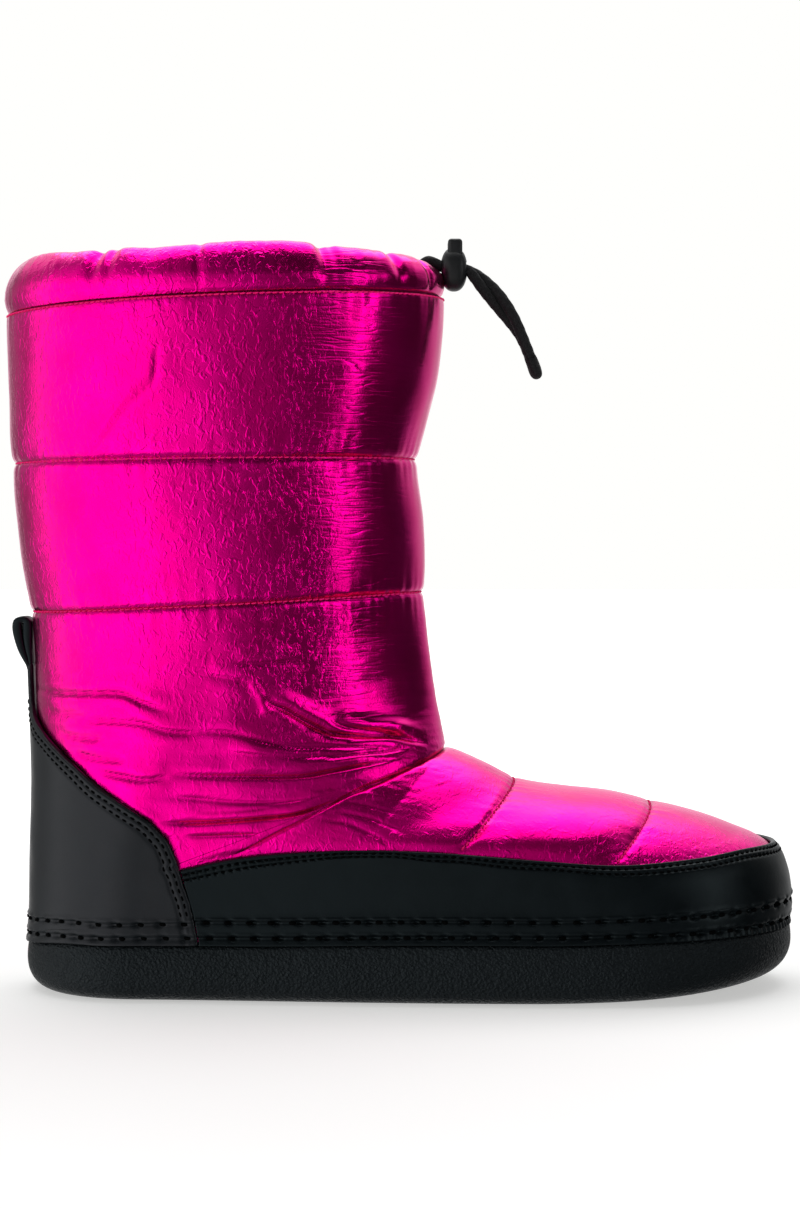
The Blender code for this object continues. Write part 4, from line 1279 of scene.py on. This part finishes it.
def build_mudguard():
    """The band round the foot between the heel counter's edges, and its rows of stitches."""
    across = np.linspace(-1.0, 1.0, BAND_COLUMNS + 1)
    sampled = np.linspace(0.1, 0.45, 351)
    tops = mudguard_row(sampled)
    lines = []
    for share in np.linspace(0.0, 1.0, 49):
        clear = ahead_of_counter(skin(sampled, share * tops)) - GAP
        u = across * np.interp(0.0, -clear, sampled)
        lines.append(stacked(u, share * mudguard_row(u)))
    lines = np.array(lines)
    climbed = walked(padded(lines[..., 0], lines[..., 1], 0.0))
    total = climbed[-1]
    low = np.repeat(np.linspace(0.0, BAND_LOW, 31)[:, None], len(across), axis=1)
    middle = BAND_LOW + np.linspace(0.0, 1.0, 12)[1:-1, None] * (total - BAND_LOW - BAND_HIGH)
    rise = np.concatenate([low, middle, total - np.linspace(BAND_HIGH, 0.0, 17)[:, None]])
    u, v = np.moveaxis(at_climb(lines, climbed, rise), -1, 0)

    def line_at(climb, bulge):
        """A line along the band's face, and the ways out from it."""
        line_u, line_v, out = at_climb(np.dstack([u, v, bulge]), rise, climb).T
        line = bent(padded(line_u, line_v, OVERLAY_GAP + MUDGUARD_THICKNESS + out))
        return line, skin_normal(line_u, line_v)

    base, down, flat = padded(u, v, 0.0), total - rise, np.zeros_like(rise)
    heights = (LOW_ROW_HEIGHT, HIGH_ROW_HEIGHT)
    relief = sole_rows_relief(rise, heights, [line_at(height, flat)[0] for height in heights])
    for row in EDGE_ROWS:
        holes = np.clip(stitch_wave(line_at(total - row, flat)[0], EDGE_STITCH_PITCH), 0.0, 1.0) ** 3
        relief -= (0.3 + 0.55 * holes) * bell(down - row, 0.62)
    relief += 0.22 * bell(down - BETWEEN_EDGE_ROWS, 0.6) + rounded_edge(down, 1.1, 0.9)
    relief += sole_pleats(base, rise, 0.30, 55.0, 2.6, 2.2) + waves(base, MUDGUARD_WAVES)
    bulge = relief + FLANGE * bell(rise, FLANGE_REACH)
    inner_rows = [0, 14, 30, 36, 44, len(rise) - 1]
    both = leather_faces(u, v, MUDGUARD_THICKNESS, bulge, inner_rows)
    dress(make_shell("leather_mudguard", *both, False, [MUDGUARD_BLACK]), "mudguard")
    fine = [stitch_row(*line_at(total - row, bulge), *EDGE_STITCH) for row in EDGE_ROWS]
    coarse = [stitch_row(*line_at(height, bulge), *SOLE_STITCH) for height in heights]
    return fine, coarse


def build_counter():
    """The heel piece with its tail up the back, and its rows of stitches."""
    rows = np.linspace(0.0, TOP_ROW, 801)
    edge_top, tail_top = np.interp([COUNTER_EDGE[-1][0], TAIL_TOP], skin(0.5, rows)[:, 2], rows)
    low = np.linspace(0.0, ANKLE_ROW, 30, endpoint=False)
    body = np.linspace(ANKLE_ROW, edge_top, 110)
    rows = np.concatenate([low, body, np.linspace(edge_top, tail_top, 16)[1:]])
    sampled = np.linspace(0.1, 0.5, 801)
    reaches = []
    for row in rows:
        line = skin(sampled, row)
        reach = (sampled[-1] - sampled[0]) * TAIL_HALF_WIDTH / walked(line)[-1]
        if row < edge_top:
            reach = max(reach, 0.5 - sampled[ahead_of_counter(line) < 0.0][0])
        reaches.append(reach)
    reaches = np.convolve(np.pad(reaches, 2, mode="edge"), np.ones(5) / 5.0, mode="valid")
    across = np.linspace(-1.0, 1.0, 141)
    across = across * (1.0 + 0.25 * (1.0 - np.abs(across)))
    u = wrapped(0.5 + across * reaches[:, None])
    v = np.repeat(rows[:, None], len(across), axis=1)
    base = padded(u, v, 0.0)
    distance = np.full(u.shape, np.inf)
    for edge in (base[:, 0], base[:, -1]):
        for point in smooth_path(edge, 400):
            distance = np.minimum(distance, np.linalg.norm(base - point, axis=-1))
    rise = walked(base)
    top_gap = np.abs(TAIL_TOP - base[..., 2])
    body_share = smoothstep((110.0 - base[..., 2]) / 20.0)
    plain = bent(padded(u, v, OVERLAY_GAP + COUNTER_THICKNESS))
    heights = (LOW_ROW_HEIGHT, HEEL_HIGH_ROW_HEIGHT)
    relief = sole_rows_relief(rise, heights, [at_climb(plain, rise, height) for height in heights])
    for row in EDGE_ROWS:
        relief -= 0.45 * body_share * bell(distance - row, 0.6)
    relief += 0.15 * body_share * bell(distance - BETWEEN_EDGE_ROWS, 0.7)
    relief += rounded_edge(np.minimum(distance, top_gap + 0.2), 1.4, 1.0)
    relief += sole_pleats(base, rise, 0.18, 30.0, 3.1, 2.0) + waves(base, COUNTER_WAVES)
    bulge = relief + FLANGE * bell(rise, FLANGE_REACH)
    inner_rows = [*range(0, len(u) - 1, 6), len(u) - 1]
    outer, inner = leather_faces(u, v, COUNTER_THICKNESS, bulge, inner_rows)
    counter = make_shell("leather_counter", outer, inner, False, [COUNTER_BLACK])
    dress(counter, "heel_counter")

    fine, coarse = [], []
    middle = len(across) // 2
    shown = (base[:, middle, 2] < TAIL_BARE_FROM) & (rise[:, middle] >= EDGE_STITCH_FROM)
    for row in EDGE_ROWS:
        for order in (1, -1):
            path, normals = [], []
            for i in np.nonzero(shown)[0]:
                line = distance[i, ::order][:middle]
                first = int(np.argmax(line > row))
                if line.max() < row + 0.2 or first == 0:
                    continue
                t = (row - line[first - 1]) / (line[first] - line[first - 1])
                points = outer[i, ::order]
                path.append(points[first - 1] * (1 - t) + points[first] * t)
                normals.append(skin_normal(u[i, ::order][first], v[i, 0]))
            fine.append(stitch_row(np.array(path), np.array(normals), *EDGE_STITCH))
    columns = np.arange(len(across))
    for height in heights:
        under = (rise <= height).sum(axis=0) - 1
        normals = skin_normal(u[under, columns], v[under, columns])
        coarse.append(stitch_row(at_climb(outer, rise, height), normals, *SOLE_STITCH))
    return fine, coarse


def build_leather():
    """Both leather pieces, with their stitches as two pieces."""
    band_fine, band_coarse = build_mudguard()
    heel_fine, heel_coarse = build_counter()
    make_stitches("edge_stitches", band_fine + heel_fine, BLACK_THREAD)
    make_stitches("sole_stitches", band_coarse + heel_coarse, BLACK_THREAD)


# Pull loop

# Half of the strip's section: across and share of its half thickness
LOOP_PROFILE = [(-6.5, 0.0), (-6.45, 0.6), (-6.2, 0.88), (-5.6, 1.0), (-4.6, 0.86), (-3.4, 0.97), (0.0, 1.0)]
LOOP_HALF_WIDTH = 6.5
LOOP_STEPS = 72


def build_loop():
    """A strip folded over and pressed flat, its ends held in the counter's tail."""
    side = smooth_path(LOOP_FOLD, LOOP_STEPS)
    middle, half = side[:, :2], side[:, 2]
    ahead = unit(np.gradient(middle, axis=0))
    across = stacked(-ahead[:, 1], ahead[:, 0])
    profile = LOOP_PROFILE + [(-y, t) for y, t in LOOP_PROFILE[-2::-1]]
    profile += [(y, -t) for y, t in profile[-2:0:-1]]
    grid = []
    for k in range(LOOP_STEPS):
        share = k / (LOOP_STEPS - 1.0)
        bow = math.sin(math.pi * share)
        ring = []
        for y, t in profile:
            sag = 0.09 * math.sin(3.0 * y / LOOP_HALF_WIDTH + 5.0 * share) * bow
            x, z = middle[k] + across[k] * (t * half[k] + sag)
            ring.append((x, y * (1.0 - 0.06 * bow), z))
        grid.append(ring)
    dress(make_tube("folded_pull_loop", np.array(grid), LOOP_BLACK), "pull_loop")


# Sole and insole

# Rings of the insole: inset and height
INSOLE_RINGS = [(0.0, 0.0), (0.0, 2.2), (0.5, 2.8), (1.6, 3.0), (6.0, 3.1), (14.0, 3.0), (24.0, 2.9)]
SOLE_RINGS = 26


def level_rings(u, rows):
    """Level rings round the foot, each a distance outside the skin's lowest row and at a height."""
    base, normal = skin(u, 0.0), plan_normal(u, 0.0)
    rings = []
    for outwards, height in rows:
        ring = base + normal * outwards
        ring[:, 2] = height
        rings.append(ring)
    return np.array(rings)


def build_sole():
    u = wrapped(np.arange(SOLE_AROUND) / SOLE_AROUND)
    side = smooth_path(SOLE_SIDE[::-1], SOLE_RINGS)
    rings = bent(level_rings(u, [(SOLE_OVERHANG - inset, max(height, 0.0)) for height, inset in side]))
    rings[0, :, 2] = toe_rise(rings[0, :, 0])
    sole = make_piece("rubber_sole", rings, capped_faces(SOLE_RINGS, SOLE_AROUND), [RUBBER])
    border = level_rings(u, [(-LUG_BORDER, 0.0)])[0][u > 0.0]
    border = border[np.argsort(border[:, 0])]
    bm = bmesh.new()
    for x in LUG_GROOVE_XS:
        half = np.interp(x, border[:, 0], border[:, 1])
        centre = (x, float(read_table(LAST_CURVE, x)), float(toe_rise(x)))
        add_box(bm, centre, (LUG_GROOVE, 2.0 * half, 2.0 * LUG_DEPTH))
    apply_cut(sole, link_bmesh("lug_grooves", bm))
    dress(sole, "outsole")


def build_insole():
    u = wrapped(np.arange(INSOLE_AROUND) / INSOLE_AROUND)
    edge = WALL + INSOLE_CLEARANCE
    rings = bent(level_rings(u, [(-edge - inset, SEAT_HEIGHT + height) for inset, height in INSOLE_RINGS]))
    faces = capped_faces(len(rings), INSOLE_AROUND)
    dress(make_piece("plush_insole", rings, faces, [FELT]), "insole")


# Cord lock

POD_X = 159.3
POD_DEPTH = 10.0
POD_TOP = 276.3
POD_ROUND = 2.25
POD_SQUARENESS = 3.0
POD_SIDES = 56
BUTTON_ROUNDING = 1.3


def pod_rings():
    """An upright egg, squarish seen from above."""
    angle = round_angles(POD_SIDES)
    wide = np.abs(np.cos(angle)) ** POD_SQUARENESS + np.abs(np.sin(angle)) ** POD_SQUARENESS
    reach = wide ** (-1.0 / POD_SQUARENESS)
    rings = []
    for turn in np.linspace(-0.485, 0.485, 37) * math.pi:
        up = math.copysign(abs(math.sin(turn)) ** (2.0 / POD_ROUND), turn)
        size = (1.0 - abs(up) ** POD_ROUND) ** (1.0 / POD_ROUND) * reach
        x = POD_X + POD_DEPTH / 2.0 * size * np.cos(angle)
        y = LOCK_WIDTH / 2.0 * size * np.sin(angle)
        rings.append(stacked(x, y, (LOCK_BOTTOM + POD_TOP + up * (POD_TOP - LOCK_BOTTOM)) / 2.0))
    return np.array(rings)


def build_barrel():
    barrel = make_tube("toggle_barrel_fine", pod_rings(), PLASTIC)
    clear = 2.0 * BUTTON_CLEARANCE
    socket = (BUTTON_DEPTH + clear, BUTTON_WIDTH + clear, 2.0 * (POD_TOP - LOCK_SOCKET_FLOOR))
    hole = (2.0 * LOCK_DEPTH, CORD_HOLE_WIDTH, CORD_HOLE_TOP - CORD_HOLE_BOTTOM)
    middle = (CORD_HOLE_TOP + CORD_HOLE_BOTTOM) / 2.0
    apply_cut(
        barrel,
        rounded_box("lock_socket", (LOCK_X, 0.0, POD_TOP), socket, BUTTON_ROUNDING, True),
        rounded_box("lock_cord_hole", (LOCK_X, 0.0, middle), hole),
    )
    dress(barrel, "toggle_barrel")
    return barrel


def build_button():
    """The spring button, forked over the cords."""
    centre = (LOCK_X, 0.0, (BUTTON_BOTTOM + BUTTON_TOP) / 2.0)
    size = (BUTTON_DEPTH, BUTTON_WIDTH, BUTTON_TOP - BUTTON_BOTTOM)
    button = rounded_box("toggle_button_fine", centre, size, BUTTON_ROUNDING)
    button.data.materials.append(PLASTIC)
    slot = (2.0 * LOCK_DEPTH, CORD_HOLE_WIDTH, 2.0 * (BUTTON_SLOT_TOP - BUTTON_BOTTOM))
    apply_cut(button, rounded_box("button_slot", (LOCK_X, 0.0, BUTTON_BOTTOM), slot))
    dress(button, "toggle_button", "button")


# Drawcord

CORD_STEPS = 241
CORD_SIDES = 28
TIP_STEPS = 30
BRAID_TURNS = 15.0


def cord_paths():
    """The middle line, the way ahead along it and the two strands that twist round it."""
    rows = read_rows(CORD_ROUTE, np.linspace(0.0, len(CORD_ROUTE) - 1.0, CORD_STEPS))
    line = stacked(rows[:, 0], 0.0, rows[:, 1])
    turn, ahead = np.radians(rows[:, 2]), unit(np.gradient(line, axis=0))
    across = np.array([0.0, 1.0, 0.0])
    spread = np.cos(turn)[:, None] * across + np.sin(turn)[:, None] * np.cross(ahead, across)
    return line, ahead, [line + side * CORD_SPREAD * spread for side in (-1.0, 1.0)]


def braid(share, angle):
    """Radius of a braided cord: two sets of yarns crossing over and under each other."""
    left = np.sin(4.0 * angle + 2.0 * math.pi * BRAID_TURNS * share)
    right = np.sin(4.0 * angle - 2.0 * math.pi * BRAID_TURNS * share)
    ridges = np.maximum(np.abs(left), np.abs(right))
    return CORD_RADIUS * (0.94 + 0.055 * left * np.abs(left) * 0.5 + 0.06 * ridges)


def tip_radius(share, angle):
    """An oval, slightly dented bead."""
    swell = np.sqrt(np.clip(1.0 - ((share - 0.48) / 0.53) ** 4, 0.0, 1.0)) * (0.93 + 0.1 * share)
    oval = 1.0 / np.hypot(np.cos(angle) / (TIP_WIDTH / 2), np.sin(angle) / (TIP_DEPTH / 2))
    dents = 1.0 + 0.03 * np.sin(3.0 * angle + 7.0 * share)
    return np.maximum(swell * oval * dents * 0.94, 0.15)


def build_cords(barrel):
    line, ahead, strands = cord_paths()
    reach = TIP_LENGTH + GAP + TIP_OVERLAP
    middle = line[-1] + ahead[-1] * (np.linspace(0.0, reach, TIP_STEPS) - TIP_OVERLAP)[:, None]
    tip = make_tube("sealed_tip", tube_grid(middle, tip_radius, CORD_SIDES), CORD)
    dress(tip, "drawcord_tip")
    in_lock = np.abs(line[:, 0] - LOCK_X).argmin() / (len(line) - 1.0)

    def squeezed_braid(share, angle):
        return braid(share, angle) * (1.0 - LOCK_SQUEEZE * bell(share - in_lock, SQUEEZE_REACH))

    for name, path, extra in (("lateral", strands[0], [tip, barrel]), ("medial", strands[1], [tip])):
        cord = make_tube("braided_cord_" + name, tube_grid(path, squeezed_braid, CORD_SIDES), CORD)
        dress(cord, "drawcord_" + name)


# Stage, light and camera

STUDIO_WHITE = (1.0, 1.0, 0.985, 1.0)
FLOOR_HALF = 6.0
LIGHT_AIM = Vector((0.0, 0.0, 0.12))
CAMERA_DISTANCE = 0.9
CAMERA_HEIGHT = 0.17
CAMERA_X = -0.0002
SENSOR = 36.0
PIXEL = 0.000375
PHOTO_HEIGHT = 1209
SHIFT_PIXELS = -73.5


def build_stage():
    """A pale floor that glows up to white away from the boot."""
    bm = bmesh.new()
    bmesh.ops.create_grid(bm, x_segments=1, y_segments=1, size=FLOOR_HALF)
    floor = link_bmesh("floor", bm)
    made, nodes, shader = new_material("pale_floor")
    place = nodes.place()
    away = nodes.add("VectorMath", {0: place}, operation="LENGTH")["Value"]
    nodes.plug(shader, {
        "Base Color": nodes.ramp(nodes.noise(place, 3.0), (0.3, 0.60), (0.7, 0.62)),
        "Emission Color": STUDIO_WHITE,
        "Emission Strength": nodes.smooth_range(away, 0.2, 0.9, 0.47, 1.0),
        "Roughness": 0.9,
        "Specular IOR Level": 0.0,
    })
    floor.data.materials.append(made)
    floor.visible_glossy = False
    floor.visible_shadow = False


def area_light(name, azimuth, elevation, distance, width, height, radiance):
    """A softbox seen from the boot at an angle from the camera's side, right being positive."""
    light = bpy.data.lights.new(name, "AREA")
    light.shape = "RECTANGLE"
    light.size, light.size_y = width, height
    light.energy = radiance * math.pi * width * height
    made = link(name, light)
    a, e = math.radians(azimuth), math.radians(elevation)
    away = Vector((math.sin(a) * math.cos(e), -math.cos(a) * math.cos(e), math.sin(e)))
    made.location = LIGHT_AIM + away * distance
    made.rotation_mode = "QUATERNION"
    made.rotation_quaternion = (-away).to_track_quat("-Z", "Y")
    made.visible_camera = False


def build_world():
    """A white studio: bright behind and above, dim towards the camera, with two cards on the right."""
    world = bpy.data.worlds.new("studio")
    bpy.context.scene.world = world
    world.use_nodes = True
    world.node_tree.nodes.clear()
    nodes = Nodes(world.node_tree)
    way = nodes.add("TexCoord")["Generated"]
    parts = nodes.add("SeparateXYZ", {"Vector": way})
    right, behind, up = parts["X"], parts["Y"], parts["Z"]
    turn = nodes.math("MULTIPLY_ADD", right, 0.5, 0.5)
    lift = nodes.math("MULTIPLY_ADD", up, 0.5, 0.5)
    high = nodes.times(nodes.math("MAXIMUM", up, 0.0), 0.45)
    low = nodes.times(nodes.math("MINIMUM", up, 0.0), 0.2)

    # The near half: bright beside the heel, dark towards the toe
    across = nodes.ramp(
        nodes.math("ADD", turn, low),
        (0.0, 1.45), (0.117, 1.6), (0.2, 1.4), (0.26, 1.15), (0.32, 0.85), (0.413, 0.6), (0.5, 0.37),
        (0.56, 0.28), (0.62, 0.22), (0.68, 0.17), (0.77, 0.1), (0.87, 0.06), (0.93, 0.04),
    )
    level = nodes.ramp(lift, (0.1, 0.3), (0.2, 1.0), (0.62, 1.0), (0.75, 0.5), (0.82, 0.3))
    things = nodes.ramp(nodes.noise(way, 6.0), (0.35, 0.72), (0.65, 1.3))
    card = nodes.times(
        nodes.ramp(turn, (0.88, 0.0), (0.92, 0.9), (0.955, 0.9), (0.98, 0.0)),
        nodes.ramp(lift, (0.44, 0.0), (0.5, 1.0), (0.72, 1.0), (0.82, 0.0)),
    )
    high_card = nodes.times(
        nodes.ramp(turn, (0.78, 0.0), (0.85, 0.85), (0.95, 0.85), (0.98, 0.0)),
        nodes.ramp(lift, (0.52, 0.0), (0.57, 1.0), (0.7, 1.0), (0.8, 0.0)),
    )
    near_side = nodes.ramp(nodes.times(behind, -1.0), (0.02, 0.0), (0.2, 1.0))
    cards = nodes.math("MAXIMUM", card, high_card)
    front = nodes.math("MULTIPLY_ADD", cards, near_side, nodes.times(across, level, things))
    behind_heel = nodes.ramp(behind, (0.0, 1.0), (0.15, 0.75), (0.28, 0.45), (0.42, 0.24), (0.7, 0.18))
    past_heel = nodes.ramp(turn, (0.3, 0.0), (0.42, 1.0))
    front = nodes.times(front, nodes.math("MAXIMUM", behind_heel, past_heel))

    # The far half: white, dimmer to both sides unless overhead
    back = nodes.smooth_range(nodes.math("ADD", behind, high), 0.28, 0.80, 0.0, 1.0)
    sides = nodes.ramp(turn, (0.2, 0.2), (0.36, 1.0), (0.6, 1.0), (0.72, 0.6))
    overhead = nodes.ramp(lift, (0.62, 0.0), (0.75, 1.0))
    back = nodes.times(back, nodes.math("MAXIMUM", sides, overhead))

    strength = nodes.math("MAXIMUM", back, front)
    around = nodes.add("Background", {"Color": grey(1.0), "Strength": strength})[0]
    seen = nodes.add("Background", {"Color": STUDIO_WHITE, "Strength": 1.0})[0]
    to_camera = nodes.add("LightPath")["Is Camera Ray"]
    mix = nodes.add("MixShader", {0: to_camera, 1: around, 2: seen})[0]
    nodes.add("OutputWorld", {"Surface": mix})


def build_camera():
    camera = bpy.data.cameras.new("camera")
    camera.sensor_width = SENSOR
    camera.sensor_fit = "AUTO"
    camera.lens = SENSOR * CAMERA_DISTANCE / (PHOTO_HEIGHT * PIXEL)
    camera.shift_y = SHIFT_PIXELS / PHOTO_HEIGHT
    made = link("camera", camera)
    made.location = (CAMERA_X, -CAMERA_DISTANCE, CAMERA_HEIGHT)
    made.rotation_euler = (math.pi / 2.0, 0.0, 0.0)
    bpy.context.scene.camera = made


build_upper()
build_quilt_stitches()
build_collar()
build_leather()
build_loop()
build_sole()
build_insole()
toggle = build_barrel()
build_button()
build_cords(toggle)
build_stage()
build_world()
build_camera()
area_light("strip_right", 62.0, 2.0, 1.25, 0.10, 1.6, 2.1)
area_light("softbox_top", 180.0, 77.0, 1.35, 1.5, 1.7, 1.75)
bpy.context.scene.view_settings.view_transform = "Standard"
